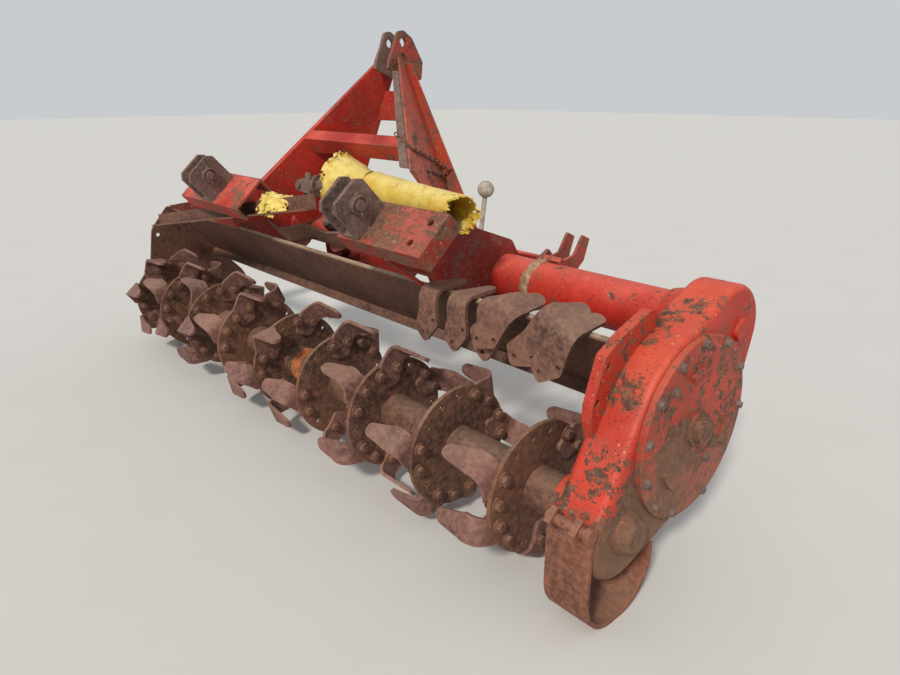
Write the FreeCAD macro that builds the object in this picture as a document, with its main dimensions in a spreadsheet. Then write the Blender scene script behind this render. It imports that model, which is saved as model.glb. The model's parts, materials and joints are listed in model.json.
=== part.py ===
"""A side-driven rotavator, parked tipped back on its side plates and case shoe.

Every piece is drawn in the working frame: X along the rotor towards the gear case, Y to the rear,
Z up, with the rotor axis at the origin. One placement then tips the whole machine back about the
rotor and lifts it so that its lowest pieces stand on Z = 0.
"""
import FreeCAD, Part
import math
import os
import Sketcher

Vector = FreeCAD.Vector
doc = FreeCAD.newDocument("rotavator")
sheet = doc.addObject("Spreadsheet::Sheet", "Sizes")

# Driving sizes: name, millimetres or degrees or a count, and what it is.
SIZES = (
    ("park_tilt", 47.8, "how far the machine is tipped back when parked"),
    ("flange_count", 9, "tine flanges on the rotor"),
    ("flange_pitch", 250, "from flange to flange"),
    ("flange_radius", 152, "tine flange"),
    ("flange_plate", 10, "thickness of a tine flange"),
    ("hub_radius", 50, "rotor tube"),
    ("stub_radius", 28, "rotor stub shaft in its bearings"),
    ("tine_bolt_radius", 130, "tine bolts, from the rotor axis"),
    ("tine_sweep", 205, "tine tips, from the rotor axis"),
    ("tine_plate", 9, "thickness of a tine"),
    ("tine_foot", 118, "sideways reach of a tine's foot beyond its shank"),
    ("tine_bend", 24, "inside radius of the bend between shank and foot"),
    ("tine_lean", 46, "how far a tine's shank leans back from the radius through its bolts"),
    ("tine_width", 62, "width of a tine at its bend"),
    ("tine_places", 15, "bolt holes round each flange, two for a tine"),
    ("tine_hole_radius", 6.5, "bolt holes in the flanges"),
    ("floor_gap", 6, "between the tine tips and the floor"),
    ("case_inner", 120, "inner face of the gear case, along X"),
    ("case_depth", 105, "gear case, along X"),
    ("case_top_radius", 107, "gear case round the beam"),
    ("case_mid_radius", 203, "gear case round the idler gear"),
    ("case_low_radius", 105, "gear case round the rotor"),
    ("case_round", 16, "rounding of the case's edges"),
    ("idler_back", 22, "idler gear, behind the rotor axis"),
    ("idler_lift", 261, "idler gear, above the rotor axis"),
    ("cover_radius", 199, "bolted cover"),
    ("cover_plate", 14, "thickness of the bolted cover"),
    ("cover_rib_radius", 132, "raised arcs on the cover"),
    ("idler_cap_radius", 28, "cap in the middle of the cover"),
    ("idler_cap_depth", 24, "cap, beyond the cover"),
    ("low_cap_radius", 40, "domed cap over the rotor bearing"),
    ("low_cap_depth", 30, "domed cap, beyond the case"),
    ("lug_plate", 24, "thickness of the lug on the case's front edge"),
    ("neck_radius", 66, "bearing neck round the rotor stub"),
    ("neck_reach", 38, "bearing neck, inwards from the case"),
    ("running_gap", 0.1, "between a turning shaft and what carries it"),
    ("shoe_front", 114, "shoe's front plate, ahead of the rotor as parked"),
    ("shoe_rear", 112, "shoe's rear end, behind the rotor as parked"),
    ("shoe_round", 100, "radius of the shoe's curved sole"),
    ("shoe_plate", 9, "thickness of the shoe"),
    ("shoe_width", 104, "shoe, along X"),
    ("beam_lift", 480, "beam, above the rotor axis"),
    ("beam_radius", 63, "right half of the beam"),
    ("beam_wall", 8, "wall of the beam tubes"),
    ("beam_left_radius", 48, "left half of the beam"),
    ("flare_radius", 78, "beam socket at the case"),
    ("flare_reach", 48, "beam socket, inwards from the case"),
    ("centre_offset", 985, "machine's middle, left of the first flange"),
    ("gearbox_width", 190, "gearbox, along X"),
    ("gearbox_front", 134, "gearbox's front face, ahead of the beam"),
    ("gearbox_rear", 104, "gearbox's rear face, behind the beam"),
    ("gearbox_below", 146, "gearbox, below the beam's axis"),
    ("gearbox_above", 118, "gearbox, above the beam's axis"),
    ("input_drop", 94, "input shaft, below the beam's axis"),
    ("input_radius", 17.5, "splined input shaft"),
    ("input_reach", 84, "input shaft, beyond its collar"),
    ("collar_radius", 52, "bearing collar round the input shaft"),
    ("collar_reach", 12, "bearing collar, beyond the gearbox"),
    ("deck_lift", 284, "underside of the hood deck"),
    ("deck_plate", 5, "thickness of the hood deck"),
    ("deck_front", 200, "front edge of the deck, ahead of the rotor"),
    ("deck_rear", 58, "rear edge of the deck, behind the rotor"),
    ("deck_lip", 26, "turned-down rear edge of the deck"),
    ("rail_width", 24, "bar along the deck's front edge"),
    ("rail_height", 9, "bar along the deck's front edge"),
    ("left_gap", 114, "from the last flange to the left side plate"),
    ("side_plate", 8, "thickness of a side plate"),
    ("side_sole_front", 20, "start of a side plate's sole, behind the rotor as parked"),
    ("side_sole_rear", 330, "end of a side plate's sole, behind the rotor as parked"),
    ("end_plate", 8, "thickness of the plate that carries the beam's left end"),
    ("bearing_radius", 62, "left bearing housing"),
    ("bearing_depth", 38, "left bearing housing"),
    ("skid_width", 46, "runner along the left side plate's sole"),
    ("skid_plate", 8, "thickness of the runner"),
    ("pin_spread", 412.5, "each lower hitch pin, from the middle"),
    ("pin_front", 455, "lower hitch pins, ahead of the rotor"),
    ("pin_lift", 322, "lower hitch pins, above the rotor axis"),
    ("pin_radius", 14, "lower hitch pins"),
    ("cheek_gap", 46, "between a clevis's cheeks"),
    ("cheek_plate", 12, "thickness of a clevis's cheek"),
    ("cheek_height", 112, "clevis cheek"),
    ("cheek_reach", 112, "clevis cheek, ahead of the arm"),
    ("arm_height", 128, "hitch arm"),
    ("arm_depth", 52, "hitch arm"),
    ("arm_wall", 7, "wall of a hitch arm"),
    ("arm_front", 387, "front face of a hitch arm, ahead of the rotor"),
    ("arm_inner", 60, "hitch arm, from its pin towards the middle"),
    ("arm_outer", 262, "hitch arm, from its pin outwards"),
    ("arm_hole_radius", 9, "empty holes in the right arm"),
    ("headstock_spread", 545, "each headstock plate, from the middle"),
    ("headstock_plate", 10, "thickness of a headstock plate"),
    ("mast_front", 422, "top-link bore, ahead of the rotor"),
    ("mast_lift", 945, "top-link bore, above the rotor axis"),
    ("mast_bore_radius", 12.8, "top-link bore"),
    ("mast_slot", 54, "between the mast's ears"),
    ("ear_plate", 12, "thickness of an ear"),
    ("mast_foot_front", 195, "foot of the mast's middle plane, ahead of the rotor"),
    ("mast_foot_lift", 492, "foot of the mast's middle plane, above the rotor axis"),
    ("leg_spread", 411, "front edge of a mast leg at its foot, from the middle"),
    ("leg_front", 100, "front edge of a mast leg at its foot, ahead of the mast's plane"),
    ("leg_rear", 212, "rear edge of a mast leg at its foot, behind the mast's plane"),
    ("leg_plate", 7, "thickness of a mast leg"),
    ("leg_rim", 30, "turned-out front edge of the left leg"),
    ("leg_flange_low", 80, "turned-out rear edge of a leg at its foot"),
    ("leg_flange_top", 33, "turned-out rear edge of a leg at its top"),
    ("cross_lift", 188, "cross bar, up the mast from its foot"),
    ("cross_band", 32, "face of the cross bar"),
    ("guard_radius", 45, "drive shaft guard tube"),
    ("guard_wall", 3.5, "wall of the guard tube"),
    ("cone_radius", 107, "drive shaft guard cone at its mouth"),
    ("yoke_shank", 22, "radius of the drive shaft beside its yoke"),
    ("seat_gap", 0.3, "between a loose piece and what it lies on"),
)

for row, (alias, number, note) in enumerate(SIZES, 1):
    sheet.set("A%d" % row, alias)
    sheet.set("B%d" % row, str(number))
    sheet.setAlias("B%d" % row, alias)
    sheet.set("C%d" % row, note)
doc.recompute()


class Sizes:
    """Reads a size from the sheet by its name."""

    def __getattr__(self, alias):
        return float(getattr(sheet, alias))


size = Sizes()
tilt = math.radians(size.park_tilt)
floor_drop = size.tine_sweep + size.floor_gap
flange_count = int(size.flange_count)
last_flange = -size.flange_pitch * (flange_count - 1)
left_plate = last_flange - size.left_gap
case_outer = size.case_inner + size.case_depth
middle = -size.centre_offset
nodes = []

# Middles of the holes in the case's lug, and the radius of the empty guard holes.
LUG_HOLES = ((-226, 226), (-196, 160))
GUARD_HOLE_RADIUS = 8


def bound(alias):
    """The expression for a size on the sheet."""
    return "Sizes." + alias


def from_parked(back, lift):
    """Working-frame (y, z) of a place given behind and above the rotor as the machine is parked."""
    return (back * math.cos(tilt) - lift * math.sin(tilt), back * math.sin(tilt) + lift * math.cos(tilt))


def keep(obj, label):
    """Names a finished piece, so that it is placed and written out."""
    obj.Label = label
    nodes.append(obj)
    return obj


def feature(label, shape):
    """A piece whose shape is made with Part's own functions."""
    obj = doc.addObject("Part::Feature", label)
    obj.Shape = shape
    return keep(obj, label)


def new_body(label):
    return keep(doc.addObject("PartDesign::Body", label), label)


def origin_item(body, role):
    return [item for item in body.Origin.OriginFeatures if item.Role == role][0]


def new_sketch(body, plane, name, lift=None):
    """A sketch on one of the body's origin planes, lifted off it by an expression or a number."""
    sketch = body.newObject("Sketcher::SketchObject", name)
    sketch.AttachmentSupport = [(origin_item(body, plane), "")]
    sketch.MapMode = "FlatFace"
    if isinstance(lift, str):
        sketch.setExpression("AttachmentOffset.Base.z", lift)
    elif lift is not None:
        sketch.AttachmentOffset = FreeCAD.Placement(Vector(0, 0, lift), FreeCAD.Rotation())
    return sketch


def outline_edges(corners):
    """Lines and arcs of a closed outline; a corner's third number rounds it with that radius."""
    count = len(corners)
    ends = []
    for index, corner in enumerate(corners):
        here = Vector(corner[0], corner[1], 0)
        before = Vector(*corners[index - 1][:2], 0)
        after = Vector(*corners[(index + 1) % count][:2], 0)
        radius = corner[2] if len(corner) > 2 else 0
        if radius <= 0:
            ends.append((here, None, here))
            continue
        to_before = (before - here).normalize()
        to_after = (after - here).normalize()
        half = to_before.getAngle(to_after) / 2
        run = radius / math.tan(half)
        bisector = (to_before + to_after).normalize()
        through = here + bisector * (radius / math.sin(half) - radius)
        ends.append((here + to_before * run, through, here + to_after * run))
    edges = []
    for index, (start, through, end) in enumerate(ends):
        if through is not None:
            edges.append(Part.Arc(start, through, end))
        following = ends[(index + 1) % count][0]
        if (following - end).Length > 1e-6:
            edges.append(Part.LineSegment(end, following))
    return edges


def add_outline(sketch, corners):
    """Draws a closed outline, as outline_edges gives it."""
    sketch.addGeometry(outline_edges(corners), False)


def prism(corners, origin, first, second, length):
    """A solid whose outline is drawn along two directions, with half its length on either side."""
    face = Part.Face(Part.Wire([edge.toShape() for edge in outline_edges(corners)]))
    third = first.cross(second)
    turned = FreeCAD.Rotation(first, second, third, "XYZ")
    face.Placement = FreeCAD.Placement(origin - third * (length / 2), turned)
    return face.extrude(third * length)


def add_circle(sketch, centre, alias):
    """A circle whose radius is bound to a size on the sheet."""
    index = sketch.addGeometry(Part.Circle(Vector(*centre, 0), Vector(0, 0, 1), getattr(size, alias)), False)
    rule = sketch.addConstraint(Sketcher.Constraint("Radius", index, getattr(size, alias)))
    sketch.setExpression("Constraints[%d]" % rule, bound(alias))
    return index


def pad(body, sketch, length, name, reverse=False, midplane=False):
    """Pads a sketch by an expression or a number."""
    item = body.newObject("PartDesign::Pad", name)
    item.Profile = sketch
    if isinstance(length, str):
        item.setExpression("Length", length)
    else:
        item.Length = length
    item.Reversed = reverse
    item.Midplane = midplane
    return item


def plate_body(label, corners, start, thickness, holes=()):
    """A flat plate square to X, from X = start, with round holes (y, z, radius)."""
    body = new_body(label)
    sketch = new_sketch(body, "YZ_Plane", label + "_outline", start)
    add_outline(sketch, corners)
    for y, z, radius in holes:
        sketch.addGeometry(Part.Circle(Vector(y, z, 0), Vector(0, 0, 1), radius), False)
    pad(body, sketch, thickness, label + "_pad")
    return body


def slab(corners, thickness, normal):
    """A solid plate: a flat outline of 3-D corners, given its thickness along a normal."""
    wire = Part.makePolygon([Vector(*c) for c in corners] + [Vector(*corners[0])])
    return Part.Face(wire).extrude(Vector(*normal) * thickness)


def box(low, high):
    span = [b - a for a, b in zip(low, high)]
    return Part.makeBox(span[0], span[1], span[2], Vector(*low))


def rod(start, end, radius):
    """A round bar from one point to another."""
    run = Vector(*end) - Vector(*start)
    return Part.makeCylinder(radius, run.Length, Vector(*start), run)


def fuse(first, *others):
    return first.fuse(list(others)).removeSplitter()


def polar(radius, angle):
    """Working-frame (y, z) at a radius and an angle in degrees about the rotor."""
    return (radius * math.cos(math.radians(angle)), radius * math.sin(math.radians(angle)))


# Rotor


def rotor_shaft():
    """Tube, flanges and stub shafts, turned as one welded piece."""
    body = new_body("rotor_shaft")
    sketch = new_sketch(body, "XZ_Plane", "rotor_section")
    tube_right = size.case_inner - size.neck_reach - 4
    tube_left = left_plate + size.side_plate + 8
    half = size.flange_plate / 2
    corners = [(tube_left - 8 - size.side_plate - size.bearing_depth + 6, 0),
               (tube_left - 8 - size.side_plate - size.bearing_depth + 6, size.stub_radius),
               (tube_left, size.stub_radius), (tube_left, size.hub_radius)]
    for number in reversed(range(flange_count)):
        x = -size.flange_pitch * number
        corners += [(x - half, size.hub_radius), (x - half, size.flange_radius),
                    (x + half, size.flange_radius), (x + half, size.hub_radius)]
    corners += [(tube_right, size.hub_radius), (tube_right, size.stub_radius),
                (case_outer - 30, size.stub_radius), (case_outer - 30, 0)]
    add_outline(sketch, corners)
    turned = body.newObject("PartDesign::Revolution", "rotor_turned")
    turned.Profile = sketch
    turned.ReferenceAxis = (origin_item(body, "X_Axis"), [""])
    turned.Angle = 360
    half_pitch = 180 / size.tine_places
    for number in range(flange_count):
        x = -size.flange_pitch * number
        holes = new_sketch(body, "YZ_Plane", "flange_holes_%d" % (number + 1), x - half - 1)
        first = FIRST_PLACES[number] + size.park_tilt + half_pitch
        for place in range(int(size.tine_places)):
            y, z = polar(size.tine_bolt_radius, first + place * half_pitch * 2)
            holes.addGeometry(Part.Circle(Vector(y, z, 0), Vector(0, 0, 1), size.tine_hole_radius), False)
        drilled = body.newObject("PartDesign::Pocket", "flange_drilled_%d" % (number + 1))
        drilled.Profile = holes
        drilled.Reversed = True
        drilled.Length = size.flange_plate + 2
    return body


def tine_blank(base, foot_way, leg, rise):
    """An L-shaped tine: its shank lies along leg, and its foot is bent to foot_way at the rise.

    The base is the middle of its two bolts, on the face that the foot is bent away from.
    """
    plate = size.tine_plate
    half = size.tine_width / 2
    tip = plate + size.tine_foot
    across = foot_way.cross(leg) if foot_way.x < 0 else leg.cross(foot_way)
    section = prism([(0, -60), (0, rise, size.tine_bend + plate), (tip, rise), (tip, rise - plate),
                     (plate, rise - plate, size.tine_bend), (plate, -60)], base, foot_way, leg, 200)
    shank = prism([(half + 19, -14, 12), (half + 3, rise * 0.4, 60), (half + 3, rise + 20), (3 - half, rise + 20),
                   (3 - half, rise * 0.5, 40), (-half - 1, 6, 14), (13, -46, 12)], base, across, leg, 600)
    leaf = prism([(-1, -90), (plate + 1, -90), (plate + size.tine_bend, 3 - half, 30), (tip - 8, 12 - half, 20),
                  (tip + 1, 10, 16), (plate + size.tine_bend, half + 3, 60), (plate + 1, 90), (-1, 90)],
                 base + leg * (rise / 2), foot_way, across, 600)
    return section.common(shank).common(leaf).removeSplitter()


def tine(flange_x, angle, face, side):
    """A tine bolted to a flange's face (+1 right, -1 left), its foot bent to a side."""
    plate = size.tine_plate
    start = flange_x + face * size.flange_plate / 2
    inner = start if face > 0 else start - plate
    lean = math.radians(size.tine_lean)
    out = Vector(0, *polar(1, angle))
    forward = Vector(0, *polar(1, angle + 90))
    leg = out * math.cos(lean) - forward * math.sin(lean)
    # The foot's leading corner is what reaches the tine's sweep.
    corner = size.tine_width / 2 + 3
    run = size.tine_bolt_radius * math.cos(lean)
    reach = size.tine_bolt_radius ** 2 + corner ** 2 + 2 * size.tine_bolt_radius * corner * math.sin(lean)
    rise = math.sqrt(run ** 2 + size.tine_sweep ** 2 - reach) - run
    base = out * size.tine_bolt_radius
    base.x = inner if side > 0 else inner + plate
    blank = tine_blank(base, Vector(side, 0, 0), leg, rise)
    if face != side:
        disc = rod((flange_x - size.flange_plate / 2, 0, 0), (flange_x + size.flange_plate / 2, 0, 0), size.flange_radius)
        blank = blank.cut(disc)
    return blank


# Angle of the first place for a tine on each flange, as parked.
FIRST_PLACES = (18.4, 8.3, 6, 22, 5, 21, 14, 12.5, 8)

# Tines still on each flange: the place, the flange face that carries the shank and the side that
# the foot is bent to (+1 right, -1 left).
TINES = (
    ((6, -1, -1), (8, -1, -1), (11, 1, -1), (13, -1, -1), (1, 1, -1)),
    ((7, -1, -1), (10, -1, -1), (2, -1, -1), (0, 1, 1), (12, -1, -1)),
    ((9, -1, -1), (6, -1, -1), (4, 1, 1), (1, 1, 1), (11, 1, 1)),
    ((7, -1, -1), (3, 1, 1), (1, -1, -1), (10, 1, 1), (12, -1, -1)),
    ((6, 1, 1), (8, -1, -1), (3, 1, 1), (10, 1, 1), (12, -1, -1), (0, -1, -1)),
    ((6, -1, -1), (4, 1, 1), (2, -1, -1), (9, 1, 1), (11, -1, -1), (13, 1, 1)),
    ((5, -1, -1), (3, 1, 1), (7, 1, 1), (1, -1, -1), (9, -1, -1), (12, 1, 1)),
    ((4, 1, 1), (6, -1, -1), (2, -1, -1), (8, 1, 1), (11, -1, -1), (13, 1, 1)),
    ((5, 1, 1), (3, -1, 1), (7, -1, 1), (9, 1, 1), (12, -1, 1), (1, 1, 1)),
)


def tine_sets():
    """One node for each flange's tines, which lie on the flange and don't touch each other."""
    for number, rows in enumerate(TINES[:flange_count]):
        x = -size.flange_pitch * number
        pitch = 360 / size.tine_places
        first = FIRST_PLACES[number] + size.park_tilt
        solids = [tine(x, first + place * pitch, face, side) for place, face, side in rows]
        feature("tines_%d" % (number + 1), Part.makeCompound(solids))


# Drive side


def case_outline():
    """Outline of the gear case: three lobes round the beam, the idler and the rotor, and tangents."""
    lobes = ((0.0, size.beam_lift, size.case_top_radius),
             (size.idler_back, size.idler_lift, size.case_mid_radius),
             (0.0, 0.0, size.case_low_radius))

    def tangent(first, second, hand):
        """Ends of the outer tangent of two circles, on the given hand of the way between them."""
        way = Vector(second[0] - first[0], second[1] - first[1], 0)
        lean = math.acos((first[2] - second[2]) / way.Length) * hand
        heading = math.atan2(way.y, way.x) + lean
        out = Vector(math.cos(heading), math.sin(heading), 0)
        return [Vector(c[0], c[1], 0) + out * c[2] for c in (first, second)]

    top, mid, low = lobes
    front_high = tangent(top, mid, -1)
    front_low = tangent(mid, low, -1)
    rear_low = tangent(low, mid, -1)
    rear_high = tangent(mid, top, -1)

    def bulge(lobe, start, end):
        """Arc of a lobe from start to end, by the way that goes round the outside."""
        centre = Vector(lobe[0], lobe[1], 0)
        out = (start - centre) + (end - centre)
        if out.Length < lobe[2] * 0.2 or lobe[2] > out.Length / 2 + lobe[2]:
            out = Vector(end.y - start.y, start.x - end.x, 0)
        return Part.Arc(start, centre + out.normalize() * lobe[2], end)

    top_centre = Vector(top[0], top[1] + top[2], 0)
    low_centre = Vector(low[0], low[1] - low[2], 0)
    return [
        Part.Arc(rear_high[1], top_centre, front_high[0]),
        Part.LineSegment(front_high[0], front_high[1]),
        bulge(mid, front_high[1], front_low[0]),
        Part.LineSegment(front_low[0], front_low[1]),
        Part.Arc(front_low[1], low_centre, rear_low[0]),
        Part.LineSegment(rear_low[0], rear_low[1]),
        bulge(mid, rear_low[1], rear_high[0]),
        Part.LineSegment(rear_high[0], rear_high[1]),
    ]


def case_core():
    """The gear case's outline drawn out well past both of its faces."""
    wire = Part.Wire([edge.toShape() for edge in case_outline()])
    wire.rotate(Vector(0, 0, 0), Vector(1, 1, 1), 120)
    wire.translate(Vector(-60, 0, 0))
    return Part.Face(wire).extrude(Vector(500, 0, 0))


def gear_case():
    """Cast housing with its beam socket, bearing neck and the lug on its front edge."""
    body = new_body("gear_case")
    outline = new_sketch(body, "YZ_Plane", "case_outline", bound("case_inner"))
    outline.addGeometry(case_outline(), False)
    block = pad(body, outline, bound("case_depth"), "case_block")
    doc.recompute()
    rims = []
    for number, edge in enumerate(block.Shape.Edges, 1):
        low, high = edge.BoundBox.XMin, edge.BoundBox.XMax
        if high - low < 0.01:
            rims.append("Edge%d" % number)
    rounding = body.newObject("PartDesign::Fillet", "case_rounding")
    rounding.Base = (block, rims)
    rounding.setExpression("Radius", bound("case_round"))
    rounding.UseAllEdges = False
    socket = new_sketch(body, "XZ_Plane", "socket_section")
    inner = size.case_inner
    lift = size.beam_lift
    add_outline(socket, [(inner + 4, lift), (inner + 4, lift + size.flare_radius + 12, 0),
                         (inner - 16, lift + size.flare_radius),
                         (inner - size.flare_reach, lift + size.beam_radius + 7),
                         (inner - size.flare_reach, lift + size.beam_radius + size.running_gap),
                         (inner - 2, lift + size.beam_radius + size.running_gap),
                         (inner - 2, lift)])
    axis = new_sketch(body, "XZ_Plane", "socket_axis")
    axis.addGeometry(Part.LineSegment(Vector(0, lift, 0), Vector(100, lift, 0)), False)
    turned = body.newObject("PartDesign::Revolution", "beam_socket")
    turned.Profile = socket
    turned.ReferenceAxis = (axis, ["Edge1"])
    turned.Angle = 360
    neck = new_sketch(body, "YZ_Plane", "neck_outline", bound("case_inner"))
    add_circle(neck, (0, 0), "neck_radius")
    pad(body, neck, bound("neck_reach"), "bearing_neck", reverse=True)
    lug = new_sketch(body, "YZ_Plane", "lug_outline", size.case_inner + 2)
    add_outline(lug, [(-110, 92), (-176, 122, 12), (-202, 146, 16), (-250, 232, 20), (-236, 292, 24), (-196, 386, 20),
                      (-90, 400)])
    pad(body, lug, bound("lug_plate"), "front_lug")
    bores = new_sketch(body, "YZ_Plane", "lug_bores", size.case_inner + 2)
    for y, z in LUG_HOLES:
        bores.addGeometry(Part.Circle(Vector(y, z, 0), Vector(0, 0, 1), GUARD_HOLE_RADIUS), False)
    cut = body.newObject("PartDesign::Pocket", "lug_holes")
    cut.Profile = bores
    cut.Type = "ThroughAll"
    cut.Midplane = True
    hollow = new_sketch(body, "YZ_Plane", "stub_bore", 0)
    hollow.addGeometry(Part.Circle(Vector(0, 0, 0), Vector(0, 0, 1), size.stub_radius + size.running_gap), False)
    bore = body.newObject("PartDesign::Pocket", "rotor_bore")
    bore.Profile = hollow
    bore.Reversed = True
    bore.Length = case_outer - 25
    return body


def gear_cover():
    """Round bolted cover over the idler gear, with its middle cap and three raised arcs."""
    plate = Part.makeCylinder(size.cover_radius, size.cover_plate, Vector(case_outer, 0, 0), Vector(1, 0, 0))
    rim = [edge for edge in plate.Edges if abs(edge.BoundBox.XMin - case_outer - size.cover_plate) < 0.01]
    plate = plate.makeFillet(4, rim)
    face = case_outer + size.cover_plate
    cap = Part.makeCylinder(size.idler_cap_radius, size.idler_cap_depth, Vector(face, 0, 0), Vector(1, 0, 0))
    boss = Part.makeCylinder(size.idler_cap_radius + 9, size.idler_cap_depth / 3, Vector(face, 0, 0), Vector(1, 0, 0))
    arcs = []
    for angle in (28, 147, 268):
        ring = Part.makeCylinder(size.cover_rib_radius + 6, 9, Vector(face, 0, 0), Vector(1, 0, 0), 26)
        core = Part.makeCylinder(size.cover_rib_radius - 6, 9, Vector(face, 0, 0), Vector(1, 0, 0), 26)
        arc = ring.cut(core).Solids[0]
        mid = arc.CenterOfMass
        arc.rotate(Vector(0, 0, 0), Vector(1, 0, 0), angle - math.degrees(math.atan2(mid.z, mid.y)))
        arcs.append(arc)
    shape = fuse(plate, cap, boss, *arcs)
    shape.translate(Vector(0, size.idler_back, size.idler_lift))
    feature("gear_cover", shape)


def rotor_cap():
    """Domed cap over the rotor bearing on the case's outer face."""
    body = new_body("rotor_cap")
    sketch = new_sketch(body, "XZ_Plane", "cap_section")
    radius = size.low_cap_radius
    depth = size.low_cap_depth
    add_outline(sketch, [(case_outer, 0), (case_outer + depth, 0), (case_outer + depth, radius * 0.8, 8),
                         (case_outer + depth * 0.5, radius), (case_outer, radius + 6)])
    turned = body.newObject("PartDesign::Revolution", "cap_turned")
    turned.Profile = sketch
    turned.ReferenceAxis = (origin_item(body, "X_Axis"), [""])
    turned.Angle = 360
    return body


def beam_pad():
    """Raised pad on the case's outer face, over the end of the beam shaft."""
    body = new_body("beam_pad")
    sketch = new_sketch(body, "YZ_Plane", "pad_outline", case_outer)
    lift = size.beam_lift
    add_outline(sketch, [(-16, lift - 8, 14), (20, lift - 8, 14), (20, lift + 40, 14), (-16, lift + 40, 14)])
    pad(body, sketch, 12, "pad_block")
    return body


def case_shoe():
    """Wear shoe that carries the case: a front plate that runs on into a curved sole."""
    front = -size.shoe_front
    rear = size.shoe_rear
    sole = -floor_drop
    plate = size.shoe_plate
    turn = size.shoe_round
    outer = [(front, 30), (front, sole, turn), (rear, sole, turn), (rear, -62)]
    inner = [(rear - plate, -62), (rear - plate, sole + plate, turn - plate),
             (front + plate, sole + plate, turn - plate), (front + plate, 30)]
    corners = [from_parked(*corner[:2]) + tuple(corner[2:]) for corner in outer + inner]
    origin = Vector(case_outer - size.shoe_width / 2, 0, 0)
    shape = prism(corners, origin, Vector(0, 1, 0), Vector(0, 0, 1), size.shoe_width).cut(case_core())
    feature("case_shoe", sorted(shape.Solids, key=lambda item: -item.Volume)[0])


def shoe_clamp():
    """Hinge bar that holds the shoe's front plate to the case, between two ears."""
    y, z = from_parked(-size.case_low_radius - 12, 46)
    start = case_outer - size.shoe_width + 4
    bar = rod((start, y, z), (start + 92, y, z), 11)
    nut = rod((start + 92, y, z), (start + 104, y, z), 16)
    ears = [box((start + along, y - 17, z - 17), (start + along + 14, y + 17, z + 17)) for along in (8, 66)]
    shoe = [node.Shape for node in nodes if node.Label == "case_shoe"]
    shape = fuse(bar, nut, *ears).cut([case_core()] + shoe)
    feature("shoe_clamp", sorted(shape.Solids, key=lambda item: -item.Volume)[0])


# Frame


def tube(label, start, end, radius_alias, wall_alias):
    """A round beam tube along X at the beam's height, as the difference of two cylinders."""
    outer = doc.addObject("Part::Cylinder", label + "_outer")
    inner = doc.addObject("Part::Cylinder", label + "_bore")
    for item in (outer, inner):
        item.Height = end - start
        item.Placement = FreeCAD.Placement(Vector(start, 0, size.beam_lift), FreeCAD.Rotation(Vector(0, 1, 0), 90))
        item.setExpression("Placement.Base.z", bound("beam_lift"))
    outer.setExpression("Radius", bound(radius_alias))
    inner.setExpression("Radius", bound(radius_alias) + " - " + bound(wall_alias))
    cut = doc.addObject("Part::Cut", label)
    cut.Base = outer
    cut.Tool = inner
    return keep(cut, label)


def gearbox():
    """Plain cast block round the bevel gears, with its input collar."""
    body = new_body("gearbox")
    lift = size.beam_lift
    front = -size.gearbox_front
    rear = size.gearbox_rear
    low = lift - size.gearbox_below
    high = lift + size.gearbox_above
    sketch = new_sketch(body, "YZ_Plane", "gearbox_outline", middle - size.gearbox_width / 2)
    add_outline(sketch, [(front, low + 30, 20), (front + 40, low, 24), (rear, low, 30), (rear, high - 40, 30),
                         (rear - 70, high, 20), (front, high, 12)])
    pad(body, sketch, bound("gearbox_width"), "gearbox_block")
    collar = new_sketch(body, "XZ_Plane", "collar_outline", "Sizes.gearbox_front - 4")
    input_lift = lift - size.input_drop
    index = collar.addGeometry(Part.Circle(Vector(middle, input_lift, 0), Vector(0, 0, 1), size.collar_radius), False)
    rule = collar.addConstraint(Sketcher.Constraint("Radius", index, size.collar_radius))
    collar.setExpression("Constraints[%d]" % rule, bound("collar_radius"))
    pad(body, collar, "Sizes.collar_reach + 4", "input_collar")
    return body


def input_shaft():
    """Splined input stub, which stops just short of its collar."""
    start = -size.gearbox_front - size.collar_reach - size.running_gap
    shaft = doc.addObject("Part::Cylinder", "input_shaft")
    shaft.setExpression("Radius", bound("input_radius"))
    shaft.setExpression("Height", bound("input_reach"))
    shaft.Placement = FreeCAD.Placement(Vector(middle, start, size.beam_lift - size.input_drop),
                                        FreeCAD.Rotation(Vector(1, 0, 0), 90))
    return keep(shaft, "input_shaft")


def headstock(label, x):
    """Plate from the beam to a hitch arm, standing on the deck."""
    lift = size.beam_lift
    deck_top = size.deck_lift + size.deck_plate
    rear = -size.arm_front + size.arm_depth
    arm_low = size.pin_lift - size.arm_height / 2 + 4
    arm_top = arm_low + size.arm_height
    rail_back = -size.deck_front + size.rail_width + size.seat_gap
    rail_top = deck_top + size.rail_height + size.seat_gap
    corners = [(rear, arm_low + 50), (-size.deck_front - 50, arm_low + 50, 10), (-size.deck_front - 8, rail_top),
               (rail_back, rail_top), (rail_back, deck_top), (54, deck_top), (80, lift - 30, 20),
               (60, lift + 60, 24), (-60, lift + 82, 30), (-200, lift + 8, 30), (rear + 85, arm_top + 30, 20),
               (rear, arm_top)]
    radius = size.beam_radius if x > middle else size.beam_left_radius
    return plate_body(label, corners, x - size.headstock_plate / 2, bound("headstock_plate"),
                      [(0, lift, radius)])


def hood_deck():
    """Flat deck with its turned-down rear edge, bent from one sheet."""
    body = new_body("hood_deck")
    sketch = new_sketch(body, "YZ_Plane", "deck_section", left_plate + size.side_plate)
    low = size.deck_lift
    top = low + size.deck_plate
    add_outline(sketch, [(-size.deck_front, low), (size.deck_rear - size.deck_plate, low),
                         (size.deck_rear, low - size.deck_lip), (size.deck_rear + size.deck_plate, low - size.deck_lip),
                         (size.deck_rear + size.deck_plate * 0.3, top), (-size.deck_front, top)])
    length = size.case_inner - size.side_plate - left_plate - size.side_plate
    pad(body, sketch, length, "deck_sheet")
    return body


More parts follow.
